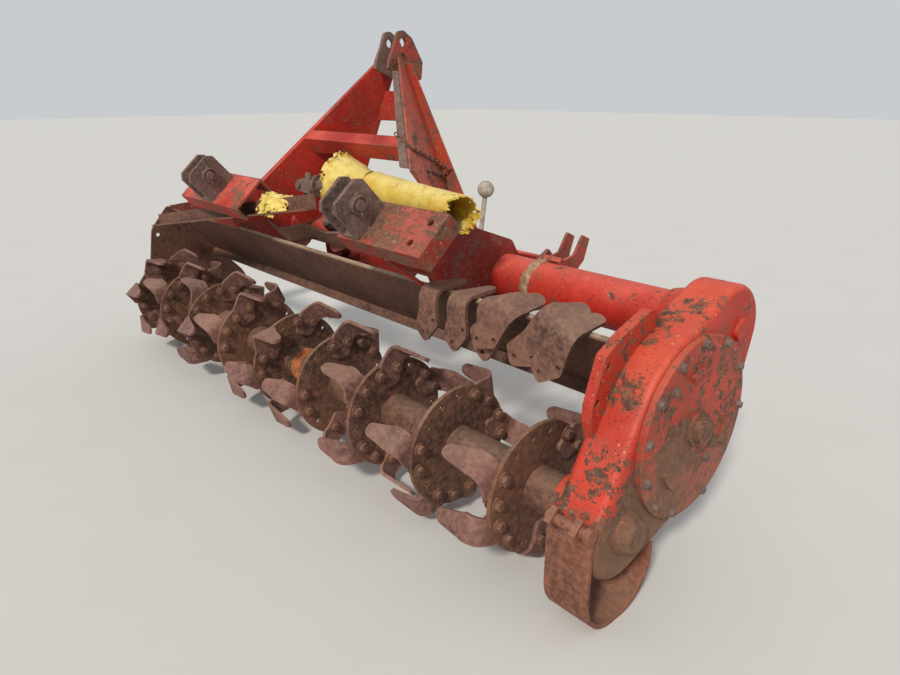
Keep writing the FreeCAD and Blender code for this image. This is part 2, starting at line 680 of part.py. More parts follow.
def lip_rail():
    """Worn bar along the front edge of the deck."""
    top = size.deck_lift + size.deck_plate
    feature("hood_lip_rail", box((last_flange + 500, -size.deck_front, top),
                                 (size.case_inner - size.side_plate - 4, -size.deck_front + size.rail_width, top + size.rail_height)))


def side_outline():
    """Outline of a side plate, down to a sole that lies on the floor as the machine is parked."""
    sole_front = from_parked(size.side_sole_front, -floor_drop)
    sole_rear = from_parked(size.side_sole_rear, -floor_drop)
    deck_top = size.deck_lift + size.deck_plate
    return [(-size.deck_front - 24, deck_top, 16), (-size.deck_front - 8, 166, 40), (-98, 24, 50),
            (-84, -62, 50), (12, -106, 60),
            (sole_front[0], sole_front[1]), (sole_rear[0], sole_rear[1]),
            (sole_rear[0] - 14, sole_rear[1] + 150, 30), (size.deck_rear + 160, deck_top, 20)]


def side_plates():
    holes = [(-size.deck_front + 8, 232, GUARD_HOLE_RADIUS), (-size.deck_front + 27, 165, GUARD_HOLE_RADIUS)]
    plate_body("side_plate_left", side_outline(), left_plate, bound("side_plate"),
               holes + [(0, 0, size.stub_radius + size.running_gap)])
    deck_top = size.deck_lift + size.deck_plate
    low = size.neck_radius + 18
    plate_body("side_plate_right", [(-118, deck_top, 16), (-104, 150, 30), (-50, low, 30), (100, low, 40),
                                    (180, 170, 40), (size.deck_rear + 150, deck_top, 20)],
               size.case_inner - size.side_plate, bound("side_plate"))


def beam_end_plate():
    """Plate on the deck that carries the left end of the beam."""
    lift = size.beam_lift
    deck_top = size.deck_lift + size.deck_plate
    plate_body("beam_end_plate", [(-size.deck_front - 18, deck_top), (size.deck_rear, deck_top), (88, lift - 40, 30),
                                  (52, lift + 58, 20), (-48, lift + 58, 20), (-108, lift - 48, 20)],
               left_plate + size.side_plate, bound("end_plate"))


def left_bearing():
    """Flanged bearing housing outside the left side plate."""
    along = Vector(-1, 0, 0)
    face = Vector(left_plate, 0, 0)
    flange = Part.makeCylinder(size.bearing_radius + 22, 12, face, along)
    hub = Part.makeCylinder(size.bearing_radius, size.bearing_depth, face, along)
    bore = Part.makeCylinder(size.stub_radius + size.running_gap, size.bearing_depth - 4, face, along)
    feature("left_bearing", fuse(flange, hub).cut(bore))


def left_skid():
    """Runner along the sole and the front corner of the left side plate, outside it."""
    front = from_parked(size.side_sole_front, -floor_drop)
    rear = from_parked(size.side_sole_rear - 30, -floor_drop)
    front_up = from_parked(size.side_sole_front, -floor_drop + size.skid_plate)
    rear_up = from_parked(size.side_sole_rear - 30, -floor_drop + size.skid_plate)
    nose = from_parked(-50, -floor_drop + 118)
    nose_in = from_parked(-50 + size.skid_plate, -floor_drop + 118)
    x = left_plate - size.skid_width
    corners = [front, rear, rear_up, front_up, nose_in, nose]
    feature("left_skid", slab([(x, y, z) for y, z in corners], size.skid_width, (1, 0, 0)))


# Hitch


def hitch_arm(side):
    """Channel that carries a clevis at one end, open to the rear, with a closed far end."""
    pin = middle + side * size.pin_spread
    low = size.pin_lift - size.arm_height / 2 + 4
    high = low + size.arm_height
    front = -size.arm_front
    rear = front + size.arm_depth
    near = pin - side * size.arm_inner
    far = pin + side * size.arm_outer if side > 0 else pin - 215
    if side < 0:
        near = pin + 205
    ends = sorted((near, far))
    wall = size.arm_wall
    shape = box((ends[0], front, low), (ends[1], rear, high))
    closed = wall if side > 0 else -1
    shape = shape.cut(box((ends[0] - 1, front + wall, low + wall), (ends[1] - closed, rear + 1, high - wall)))
    label = "hitch_arm_right" if side > 0 else "hitch_arm_left"
    if side > 0:
        for x, z in ((ends[1] - 38, high - 34), (ends[1] - 58, low + 32)):
            shape = shape.cut(Part.makeCylinder(size.arm_hole_radius, 60, Vector(x, front - 10, z), Vector(0, 1, 0)))
    feature(label, shape)


def clevis(side):
    """Two square cheeks with cut corners, ahead of the arm, joined by a heel against it."""
    pin = middle + side * size.pin_spread
    front = -size.arm_front
    tip = front - size.cheek_reach
    low = size.pin_lift - size.cheek_height / 2
    high = low + size.cheek_height
    cheeks = []
    for hand in (-1, 1):
        x = pin + hand * (size.cheek_gap + size.cheek_plate) / 2 - size.cheek_plate / 2
        corners = [(x, front, low), (x, tip + 16, low), (x, tip, low + 16), (x, tip, high - 16), (x, tip + 16, high),
                   (x, front, high)]
        cheeks.append(slab(corners, size.cheek_plate, (1, 0, 0)))
    half = size.cheek_gap / 2 + size.cheek_plate
    heel = box((pin - half, front - 10, low), (pin + half, front, high))
    shape = fuse(cheeks[0], cheeks[1], heel)
    bore = Part.makeCylinder(size.pin_radius + 0.3, 400, Vector(pin - 200, -size.pin_front, size.pin_lift), Vector(1, 0, 0))
    feature("clevis_right" if side > 0 else "clevis_left", shape.cut(bore))


def hitch_pin(side):
    """Lower hitch pin with its head, held in the clevis."""
    pin = middle + side * size.pin_spread
    half = size.cheek_gap / 2 + size.cheek_plate
    body = new_body("hitch_pin_right" if side > 0 else "hitch_pin_left")
    sketch = new_sketch(body, "XZ_Plane", "pin_section_%d" % (side + 1), size.pin_front)
    lift = size.pin_lift
    gap = 0.3
    add_outline(sketch, [(pin - half - 18, lift), (pin - half - 18, lift + size.pin_radius),
                         (pin + half + gap, lift + size.pin_radius), (pin + half + gap, lift + size.pin_radius + 8),
                         (pin + half + 12, lift + size.pin_radius + 8), (pin + half + 14, lift + size.pin_radius),
                         (pin + half + 22, lift + size.pin_radius - 2), (pin + half + 22, lift)])
    axis = new_sketch(body, "XZ_Plane", "pin_axis_%d" % (side + 1), size.pin_front)
    axis.addGeometry(Part.LineSegment(Vector(pin - 60, lift, 0), Vector(pin + 60, lift, 0)), False)
    turned = body.newObject("PartDesign::Revolution", "pin_turned_%d" % (side + 1))
    turned.Profile = sketch
    turned.ReferenceAxis = (axis, ["Edge1"])
    turned.Angle = 360
    return body


# Mast


def mast_frame():
    """Unit vectors of the mast's middle plane: up the mast, and its front-facing normal."""
    rise = Vector(0, size.mast_foot_front - size.mast_front, size.mast_lift - size.mast_foot_lift)
    up = Vector(rise).normalize()
    return rise.Length, up, Vector(0, -up.z, up.y)


def mast_point(spread, rise, ahead):
    """A place on the mast: from the machine's middle, up from the mast's foot and ahead of its plane."""
    up, normal = mast_frame()[1:]
    return Vector(middle + spread, -size.mast_foot_front, size.mast_foot_lift) + up * rise + normal * ahead


def leg_edge(side, rise, rear=False):
    """A place on a leg's front or rear edge. Both edges lie in one plane and run straight to the ear."""
    length = mast_frame()[0] - 75
    low, high = (-size.leg_rear, -45) if rear else (size.leg_front, 12)
    ahead = low + (high - low) * rise / length
    top = size.mast_slot / 2 + size.ear_plate + 21
    turn = 0.4
    climb = (size.leg_spread - top - turn * (size.leg_front - 12)) / length
    spread = top + turn * (ahead - 12) + climb * (length - rise)
    return mast_point(side * spread, rise, ahead)


def beam_core():
    """Both halves of the beam as solid bars, for what is fitted round them."""
    lift = size.beam_lift
    return fuse(rod((middle, 0, lift), (0, 0, lift), size.beam_radius),
                rod((left_plate, 0, lift), (middle, 0, lift), size.beam_left_radius))


def mast_leg(side):
    """Pressed leg set edge-on, from the beam to the ear, with its edges turned out."""
    length, up, normal = mast_frame()
    top = length - 48
    ear = size.mast_slot / 2 + size.ear_plate
    low = 0 if side < 0 else 105
    front_low, front_top = leg_edge(side, low), leg_edge(side, top)
    rear_low, rear_top = leg_edge(side, 0, True), leg_edge(side, top, True)
    across = (rear_top - front_top).normalize()
    along = (rear_low - rear_top).normalize()
    out = along.cross(across)
    out = out if out.x * side > 0 else -out

    def on_plate(y, z):
        """The place on the leg's own plane that has this y and z."""
        point = Vector(front_top.x, y, z)
        return point - Vector((point - front_top).dot(out) / out.x, 0, 0)

    lift = size.beam_lift
    seat = [on_plate(-50, lift + 40), on_plate(-62, front_low.z - 10 if side > 0 else lift - 40)]
    if side > 0:
        seat = [on_plate(-40, lift + 30), on_plate(-64, front_low.z)]
    plate = slab([front_low, front_top, rear_top, rear_low] + seat, size.leg_plate, out)
    rim_low = leg_edge(side, 0, True)
    flange = slab([rim_low, rear_top, rear_top + Vector(side * size.leg_flange_top, 0, 0),
                   rim_low + Vector(side * size.leg_flange_low, 0, 0)], size.leg_plate, -normal)
    shape = plate.fuse(flange)
    if side < 0:
        shape = shape.fuse(slab([front_low, front_top, front_top + Vector(-size.leg_rim / 2, 0, 0),
                                 front_low + Vector(-size.leg_rim, 0, 0)], size.leg_plate, -normal))
    slot = box((middle - ear, -1000, 300), (middle + ear, 500, 1300))
    shape = shape.cut(slot).cut(beam_core())
    feature("mast_leg_right" if side > 0 else "mast_leg_left", sorted(shape.Solids, key=lambda item: -item.Volume)[0])


def mast_cross():
    """Cross bar between the legs, a face with a web that runs back below it, and the gusset above."""
    up, normal = mast_frame()[1:]
    half = size.cross_band / 2
    top = size.cross_lift + half
    low = size.cross_lift - half
    face = [leg_edge(-1, low), leg_edge(1, low), leg_edge(1, top), leg_edge(-1, top)]
    band = slab(face, size.leg_plate, -normal)
    back = [leg_edge(-1, low), leg_edge(1, low)]
    back += [point - up * 30 - normal * 46 for point in reversed(back)]
    web = slab(back, size.leg_plate, (up * 118 - normal * 77).normalize())
    shelf = slab([leg_edge(-1, top), leg_edge(1, top), leg_edge(1, top) - normal * 30,
                  leg_edge(-1, top) - normal * 30], size.leg_plate, -up)
    shape = fuse(band, web, shelf)
    gusset = slab([leg_edge(-1, 297, True), leg_edge(1, 297, True), leg_edge(1, 380, True),
                   leg_edge(-1, 380, True)], size.leg_plate, normal)
    legs = [node.Shape for node in nodes if node.Label.startswith("mast_leg")]
    sides = [mast_side(side) for side in (-1, 1)]
    feature("mast_cross_bar", sorted(shape.cut(sides + legs).Solids, key=lambda item: -item.Volume)[0])
    feature("mast_gusset", sorted(gusset.cut(sides + legs).Solids, key=lambda item: -item.Volume)[0])


def mast_side(side):
    """All that lies outside the plane of a leg's inner face, as a thick block."""
    corners = [leg_edge(side, 0), leg_edge(side, 400), leg_edge(side, 400, True), leg_edge(side, 0, True)]
    spread = [corner + (corner - leg_edge(side, 200)) * 0.5 for corner in corners]
    out = (spread[1] - spread[0]).cross(spread[3] - spread[0]).normalize()
    out = out if out.x * side > 0 else -out
    return slab(spread, 120, out)


def mast_ear(side):
    """Ear with the top-link bore, square to X, that widens to the rear at its foot."""
    up, normal = mast_frame()[1:]
    inner = middle + side * size.mast_slot / 2
    centre = Vector(inner + side * size.ear_plate / 2, -size.mast_front, size.mast_lift)
    foot = -90
    corners = [(34, 10, 16), (26, -28, 14), (-22, -92, 16), (-74, -106, 10), (foot, -66), (foot, 28),
               (-66, 32, 20), (-19, 27, 30), (22, 28, 14)]
    shape = prism([(ahead, rise, *rounding) for rise, ahead, *rounding in corners], centre, normal, up, size.ear_plate)
    bore = Part.makeCylinder(size.mast_bore_radius, 100, Vector(inner - 50, centre.y, centre.z), Vector(1, 0, 0))
    shape = shape.cut(bore)
    if side > 0:
        opening = prism([(-12, -74, 9), (-34, -44, 9), (-12, -24, 9), (8, -44, 9)], centre, normal, up, 60)
        shape = shape.cut(opening)
    feature("mast_ear_right" if side > 0 else "mast_ear_left", shape)


def mast_brace():
    """Flat bar along the front edge of the right leg, from the ear down."""
    up, normal = mast_frame()[1:]
    length = mast_frame()[0]
    gap = normal * size.seat_gap
    top = leg_edge(1, length - 98) + gap
    low = leg_edge(1, 112) + gap
    feature("mast_brace", slab([top + Vector(2, 0, 0), top - Vector(22, 0, 0), low - Vector(34, 0, 0), low], 8, normal))


# Small pieces on the beam


def hinge_bracket():
    """Rod held between two lugs on top of the beam."""
    top = size.beam_lift + size.beam_radius
    lug = []
    for x in (-578, -342):
        lug.append(slab([(x, -36, top - 10), (x, 36, top - 10), (x, 26, top + 34), (x, -26, top + 34)], 12, (1, 0, 0)))
    bar = rod((-578, 0, top + 18), (-330, 0, top + 18), 8)
    shape = fuse(lug[0], lug[1], bar)
    feature("hinge_bracket", shape.cut(beam_core()))


def stay_bracket():
    """Pair of bent ears standing on the beam."""
    top = size.beam_lift + size.beam_radius
    ears = []
    for x in (-318, -268):
        ears.append(slab([(x, -44, top - 14), (x, 30, top - 14), (x, 34, top + 60), (x, 6, top + 112),
                          (x, -22, top + 100), (x, -8, top + 44)], 9, (1, 0, 0)))
    foot = box((-318, -44, top - 10), (-259, 30, top + 5))
    shape = fuse(ears[0], ears[1], foot)
    feature("stay_bracket", shape.cut(beam_core()))


def lever():
    """Short lever with a large pale knob, on the beam beside the mast."""
    top = size.beam_lift + size.beam_radius
    foot = box((-608, -16, top - 6), (-584, 16, top + 16))
    shaft = rod((-596, 0, top + 8), (-578, -114, top + 116), 7)
    knob = Part.makeSphere(24, Vector(-577, -124, top + 127))
    feature("lever", fuse(foot, shaft, knob).cut(beam_core()))


# Loose pieces


def drive_shaft():
    """Half of a drive shaft: its tube lies on the right arm, its drooping cone leans on the gearbox."""
    arm_top = size.pin_lift + size.arm_height / 2 + 4
    throat = Vector(middle + 85, -229.3, 542.2)
    end = Vector(-328.3, -322.9, arm_top + size.guard_radius * 0.978 + size.seat_gap)
    along = (end - throat).normalize()
    droop = Vector(-125, 0, -33).normalize()
    mouth = throat + droop * 129
    mouth.y = -size.gearbox_front - size.seat_gap - size.cone_radius
    droop = (mouth - throat).normalize()
    mouth.y = -size.gearbox_front - size.seat_gap - size.cone_radius * math.sqrt(1 - droop.y ** 2)
    droop = (mouth - throat).normalize()
    reach = (mouth - throat).Length
    narrow = size.guard_radius - 1
    start = throat + along * (narrow * along.cross(droop).Length - 1.4)
    length = (end - start).Length
    guard = Part.makeCylinder(size.guard_radius, length, start, along)
    guard = guard.cut(Part.makeCylinder(size.guard_radius - size.guard_wall, length + 2, start, along))
    feature("pto_tube", guard)
    hub = throat + Vector(-296, 12, -26)
    way = (hub - throat).normalize()
    cone = Part.makeCone(narrow, size.cone_radius, reach, throat, droop)
    hollow = Part.makeCone(narrow - 2, size.cone_radius - 3, reach - 10, throat + droop * 12, droop)
    bore = Part.makeCylinder(size.yoke_shank + size.seat_gap, 60, throat - way * 30, way)
    feature("pto_cone", cone.cut(hollow).cut(bore))
    shank = Part.makeCylinder(size.yoke_shank, (hub - throat).Length + 20, hub, -way)
    collar = Part.makeCylinder(36, 30, hub - way * 20, way)
    up = Vector(0, -0.6, 0.8)
    up = (up - way * up.dot(way)).normalize()
    across = way.cross(up).normalize()
    shape = fuse(shank, collar)
    for hand in (-1, 1):
        base = hub + way * 74 + across * (28 * hand - 8)
        corners = [base - up * 16, base + up * 16, base + up * 30 - way * 80, base - up * 30 - way * 80]
        shape = shape.fuse(slab([tuple(point) for point in corners], 16, tuple(across)))
    for axis in (up, across):
        centre = hub + way * 58
        shape = shape.fuse(Part.makeCylinder(12, 88, centre - axis * 44, axis))
    feature("pto_yoke", shape.removeSplitter())


def angle_rail():
    """Loose angle iron that lies across the left end."""
    start = Vector(-2030, *from_parked(-1.13, 292))
    end = Vector(-860, *from_parked(22.87, 494))
    way = (end - start).normalize()
    width = Vector(0, *from_parked(0, 1))
    width = (width - way * width.dot(way)).normalize()
    depth = way.cross(width).normalize()
    section = [start, start + width * 44, start + width * 44 + depth * 5, start + width * 5 + depth * 5,
               start + width * 5 + depth * 40, start + depth * 40]
    wire = Part.makePolygon(section + [section[0]])
    feature("angle_rail", Part.Face(wire).extrude(end - start))


def bent_plate():
    """Bent flat bar that lies on the deck beside the right clevis."""
    top = size.deck_lift + size.deck_plate
    low = top + size.rail_height + size.seat_gap
    profile = [(-1240, low + 20), (-1150, low), (-1040, low + 40), (-900, low + 30), (-760, low + 56)]
    upper = [(x, z + 7) for x, z in profile]
    corners = [(x, -190, z) for x, z in profile] + [(x, -190, z) for x, z in reversed(upper)]
    feature("bent_plate", slab(corners, 70, (0, -1, 0)))


def strut_rod():
    """Thin stay between the right arm and the deck."""
    feature("strut_rod", rod((-480, -333.2, 265.6), (-454, -size.deck_front - 6.3, size.deck_lift - 1), 6))


# Spare tines: bolts' middle along X, and as parked behind and above the rotor, and lean of the shank
# in degrees. Each foot rests on the front corner of the lip rail.
SPARE_TINES = ((-400, 36, 257, 0), (-294, 36, 258, 2), (-206, 50, 255, 3), (-192, 26, 280, -34),
               (-92, 42, 262, -34), (-4, 22, 264, -20))


def spare_tines():
    """Spare tines hung over the deck's front edge beside the gear case."""
    solids = []
    rail_top = size.deck_lift + size.deck_plate + size.rail_height
    corner_lift = size.deck_front * math.sin(tilt) + rail_top * math.cos(tilt)
    for x, back, lift, lean in SPARE_TINES:
        turn = math.radians(lean)
        low_edge = (size.tine_width / 2 - 4.9) * abs(math.sin(turn))
        rise = (corner_lift + size.seat_gap - lift + low_edge) / math.cos(turn) + size.tine_plate
        leg = Vector(-math.sin(turn), *from_parked(0, math.cos(turn)))
        foot_way = Vector(0, *from_parked(1, 0))
        base = Vector(x, *from_parked(back, lift))
        blank = tine_blank(base, foot_way, leg, rise)
        across = leg.cross(foot_way)
        for hand in (-1, 1):
            spot = base + across * (19 * hand) - leg * (19 * hand) - foot_way * 20
            blank = blank.cut(Part.makeCylinder(size.tine_hole_radius, 60, spot, foot_way))
        solids.append(blank)
    feature("spare_tines", Part.makeCompound(solids))


def build():
    rotor_shaft()
    tine_sets()
    gear_case()
    gear_cover()
    rotor_cap()
    beam_pad()
    case_shoe()
    shoe_clamp()
    box_half = size.gearbox_width / 2
    tube("beam_right", middle + box_half, size.case_inner - 2, "beam_radius", "beam_wall")
    tube("beam_left", left_plate + size.side_plate + size.end_plate, middle - box_half, "beam_left_radius", "beam_wall")
    gearbox()
    input_shaft()
    headstock("headstock_right", middle + size.headstock_spread)
    headstock("headstock_left", middle - size.headstock_spread)
    hood_deck()
    lip_rail()
    side_plates()
    beam_end_plate()
    left_bearing()
    left_skid()
    for side in (-1, 1):
        hitch_arm(side)
        clevis(side)
        hitch_pin(side)
        mast_ear(side)
        mast_leg(side)
    mast_cross()
    mast_brace()
    hinge_bracket()
    stay_bracket()
    lever()
    drive_shaft()
    angle_rail()
    bent_plate()
    strut_rod()
    spare_tines()


build()
doc.recompute()

# The machine is tipped back about the rotor, then moved so that its box stands on the origin.
tip = FreeCAD.Rotation(Vector(1, 0, 0), -size.park_tilt)
working = {node.Name: FreeCAD.Placement(node.Placement) for node in nodes}


def park(offset):
    for node in nodes:
        node.Placement = FreeCAD.Placement(offset, tip).multiply(working[node.Name])


park(Vector(0, 0, 0))
doc.recompute()
bounds = FreeCAD.BoundBox()
for node in nodes:
    bounds.add(node.Shape.BoundBox)
park(Vector(-bounds.Center.x, -bounds.Center.y, floor_drop))
doc.recompute()

for obj in doc.Objects:
    if "Invalid" in obj.State or "Error" in obj.State:
        raise RuntimeError("failed: %s %s" % (obj.Label, obj.State))
for node in nodes:
    if node.Shape.isNull() or not node.Shape.isValid() or not node.Shape.Solids:
        raise RuntimeError("bad shape: " + node.Label)

os.makedirs("parts", exist_ok=True)
for node in nodes:
    node.Shape.exportStep("parts/%s.step" % node.Label)
    spot = node.Shape.BoundBox
    print("%-18s solids %d volume %.0f box %.0f %.0f %.0f to %.0f %.0f %.0f" % (
        node.Label, len(node.Shape.Solids), node.Shape.Volume,
        spot.XMin, spot.YMin, spot.ZMin, spot.XMax, spot.YMax, spot.ZMax))
shift = Vector(-bounds.Center.x, -bounds.Center.y, floor_drop)
print("nodes", len(nodes), "shift", shift, "floor", bounds.ZMin + floor_drop)
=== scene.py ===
"""Looks of a weathered side-driven rotavator, parked tipped back.

Lengths are metres and angles degrees. Places on the machine are given in its working frame, as in
its drawings: X along the rotor, Y to the rear, Z up, from the rotor's axis at the first tine flange.
The function row() turns such a place into the row frame, where the machine lies tipped back.
"""
import json
import math
import random

import bpy
from mathutils import Matrix, Vector, noise


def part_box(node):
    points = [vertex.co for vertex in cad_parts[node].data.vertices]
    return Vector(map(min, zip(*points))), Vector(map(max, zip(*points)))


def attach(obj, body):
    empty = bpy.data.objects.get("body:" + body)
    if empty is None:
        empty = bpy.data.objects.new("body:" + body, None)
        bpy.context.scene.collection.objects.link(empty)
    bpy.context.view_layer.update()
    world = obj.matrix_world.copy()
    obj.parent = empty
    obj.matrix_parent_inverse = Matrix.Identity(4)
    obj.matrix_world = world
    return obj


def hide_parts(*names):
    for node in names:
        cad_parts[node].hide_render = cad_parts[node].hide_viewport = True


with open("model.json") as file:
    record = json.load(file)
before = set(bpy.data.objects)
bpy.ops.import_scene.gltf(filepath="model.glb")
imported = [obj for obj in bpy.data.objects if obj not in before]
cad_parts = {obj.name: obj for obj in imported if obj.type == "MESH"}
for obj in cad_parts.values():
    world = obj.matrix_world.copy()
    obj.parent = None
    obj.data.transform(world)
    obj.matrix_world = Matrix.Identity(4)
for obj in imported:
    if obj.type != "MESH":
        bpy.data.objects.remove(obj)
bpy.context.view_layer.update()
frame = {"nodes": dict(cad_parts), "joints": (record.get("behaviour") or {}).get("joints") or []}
nodes = frame["nodes"]

# Driving sizes, as the machine is drawn.
PARK_TILT = math.radians(47.8)
FLANGE_PITCH = 0.250
FLANGE_HALF = 0.005
TINE_PLATE = 0.009
TINE_BOLT_RADIUS = 0.130
TINE_PLACES = 15
LEFT_PLATE = 2.114
COVER_FACE = 0.239
IDLER_BACK = 0.022
IDLER_LIFT = 0.261
COVER_BOLT_RADIUS = 0.185
HUB_DEPTH = 0.010
CAP_DEPTH = 0.020
BEAM_LIFT = 0.480
BEAM_RADIUS = 0.063
BEARING_FLANGE = 0.012
BEARING_BOLT_COUNT = 6
BEARING_BOLT_RADIUS = 0.073
BEARING_BOLT_TURN = 14

# Bolts: width across flats, height of the head, then washer and stub of thread.
TINE_HEAD = (0.021, 0.010, 0.0025)
TINE_NUT = (0.022, 0.012, 0.0025, 0.007)
COVER_SCREW = (0.0145, 0.007, 0.0015)
BEARING_BOLT = (0.0135, 0.008, 0.0015)

# Sizes of the other small pieces that are added here.
TWINE_START = -0.905
TWINE_PITCH = 0.0042
TWINE_TURNS = 11
TWINE_RADIUS = 0.0518
TWINE_WIRE = 0.0019
WELD_PLACE = -0.313
WELD_LIFT = 0.001
WELD_WIRE = 0.006
WELD_WIDENING = 2.6
GUARD_WALL = 0.003
SCRAP_WALL = 0.0015
SCRAP_CELLS = 14
LINK_PITCH = 0.0175
LINK_RADIUS = 0.0066
LINK_WIRE = 0.0019
LINK_SHAPE = (1, 0.9, 1.65)
PIN_RADIUS = 0.0045
PIN_LENGTH = 0.060
PIN_BACKSET = 0.007
PIN_RING_RADIUS = 0.022
PIN_RING_WIRE = 0.0024

rotor_joint = frame["joints"][0]
ORIGIN = Vector((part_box("side_plate_left")[0].x + LEFT_PLATE, *rotor_joint["pos_m"][1:]))
TIP = Matrix.Rotation(-PARK_TILT, 4, "X")


def row(x, y, z):
    """A place of the working frame, in the row frame."""
    return ORIGIN + TIP @ Vector((x, y, z))


def row_way(x, y, z):
    """A direction of the working frame, in the row frame."""
    return (TIP @ Vector((x, y, z))).normalized()


def parked(x, back, lift):
    """A place given along, behind and above the rotor's axis as the machine is parked."""
    return ORIGIN + Vector((x, back, lift))


def rgb(red, green, blue):
    """A colour as a screen shows it, 0 to 255, as the linear values that Blender takes."""
    parts = []
    for part in (red, green, blue):
        share = part / 255
        parts.append(share / 12.92 if share <= 0.04045 else ((share + 0.055) / 1.055) ** 2.4)
    return (*parts, 1.0)


# Materials


class Value:
    """A shader socket that can be used in sums."""

    def __init__(self, finish, socket):
        self.finish = finish
        self.socket = socket

    def sum_with(self, other, operation, swapped=False):
        """Adds the Math node; swapped is for a number that stands before the socket."""
        first, second = (other, self) if swapped else (self, other)
        return self.finish.add("ShaderNodeMath", {"operation": operation}, {0: first, 1: second})

    def __add__(self, other):
        return self.sum_with(other, "ADD")

    def __radd__(self, other):
        return self.sum_with(other, "ADD", True)

    def __sub__(self, other):
        return self.sum_with(other, "SUBTRACT")

    def __rsub__(self, other):
        return self.sum_with(other, "SUBTRACT", True)

    def __mul__(self, other):
        return self.sum_with(other, "MULTIPLY")

    def __rmul__(self, other):
        return self.sum_with(other, "MULTIPLY", True)


class Finish:
    """A node material built up from small steps."""

    def __init__(self, name):
        self.material = bpy.data.materials.new(name)
        self.material.use_nodes = True
        self.tree = self.material.node_tree
        self.tree.nodes.clear()
        self.place = self.add("ShaderNodeTexCoord", out="Object")

    def add(self, kind, settings=None, sockets=None, out=0):
        """Adds a node; its settings come first, then values or links for its sockets."""
        node = self.tree.nodes.new(kind)
        for key, setting in (settings or {}).items():
            setattr(node, key, setting)
        for key, value in (sockets or {}).items():
            if isinstance(value, Value):
                self.tree.links.new(value.socket, node.inputs[key])
            else:
                node.inputs[key].default_value = value
        return Value(self, node.outputs[out])

    def noise(self, scale, detail=4.0, rough=0.55, warp=0.0, place=None):
        """Cloudy noise between 0 and 1."""
        sockets = {"Vector": place or self.place, "Scale": scale, "Detail": detail,
                   "Roughness": rough, "Distortion": warp}
        return self.add("ShaderNodeTexNoise", {}, sockets)

    def cells(self, scale):
        """Distance from the nearest of many scattered points."""
        return self.add("ShaderNodeTexVoronoi", {}, {"Vector": self.place, "Scale": scale})

    def stretched(self, x, y, z):
        """The place with each axis scaled, for streaks."""
        return self.add("ShaderNodeMapping", {}, {"Vector": self.place, "Scale": (x, y, z)})

    def between(self, value, low, high):
        """0 at low and 1 at high, smooth between them."""
        sockets = {"Value": value, "From Min": low, "From Max": high}
        return self.add("ShaderNodeMapRange", {"interpolation_type": "SMOOTHSTEP"}, sockets)

    def mix(self, share, first, second):
        """The first colour at share 0, the second at 1."""
        sockets = {0: share, 6: first, 7: second}
        return self.add("ShaderNodeMix", {"data_type": "RGBA"}, sockets, 2)

    def dimmed(self, share, colour, other):
        """Colour multiplied by another one, by a share."""
        sockets = {0: share, 6: colour, 7: other}
        return self.add("ShaderNodeMix", {"data_type": "RGBA", "blend_type": "MULTIPLY"}, sockets, 2)

    def height(self):
        """Height above the floor, in metres."""
        return self.add("ShaderNodeSeparateXYZ", {}, {"Vector": self.place}, 2)

    def near(self, centre, inner, outer):
        """1 within the inner distance of a place, 0 beyond the outer one."""
        pair = {0: self.place, 1: tuple(centre)}
        far = self.add("ShaderNodeVectorMath", {"operation": "DISTANCE"}, pair, 1)
        return self.between(far, outer, inner)

    def facing_up(self):
        """1 on what faces the sky, -1 on what faces the floor."""
        normal = self.add("ShaderNodeNewGeometry", out="Normal")
        return self.add("ShaderNodeSeparateXYZ", {}, {"Vector": normal}, 2)

    def edges(self, radius):
        """1 on edges and corners, 0 on flat faces."""
        round_normal = self.add("ShaderNodeBevel", {"samples": 4}, {"Radius": radius})
        flat_normal = self.add("ShaderNodeNewGeometry", out="Normal")
        pair = {0: round_normal, 1: flat_normal}
        likeness = self.add("ShaderNodeVectorMath", {"operation": "DOT_PRODUCT"}, pair, 1)
        return self.between(likeness, 0.985, 0.86)

    def finish(self, colour, roughness, metallic=0.0, bump=None, depth=0.001):
        """Ends the material, with its relief where there is one."""
        sockets = {"Base Color": colour, "Roughness": roughness, "Metallic": metallic}
        if bump is not None:
            relief = {"Height": bump, "Distance": depth, "Strength": 1.0}
            sockets["Normal"] = self.add("ShaderNodeBump", {}, relief)
        shader = self.add("ShaderNodeBsdfPrincipled", {}, sockets)
        output = self.tree.nodes.new("ShaderNodeOutputMaterial")
        self.tree.links.new(shader.socket, output.inputs["Surface"])
        return self.material


def rust_layers(finish, dark, brown, pale):
    """Three shades of rust in clouds and fine grain."""
    cloud = finish.between(finish.noise(5.0, 5.0, 0.6), 0.34, 0.66)
    grain = finish.between(finish.noise(70.0, 6.0, 0.7), 0.36, 0.66)
    base = finish.mix(cloud, dark, brown)
    return finish.mix(grain * 0.55, base, pale)


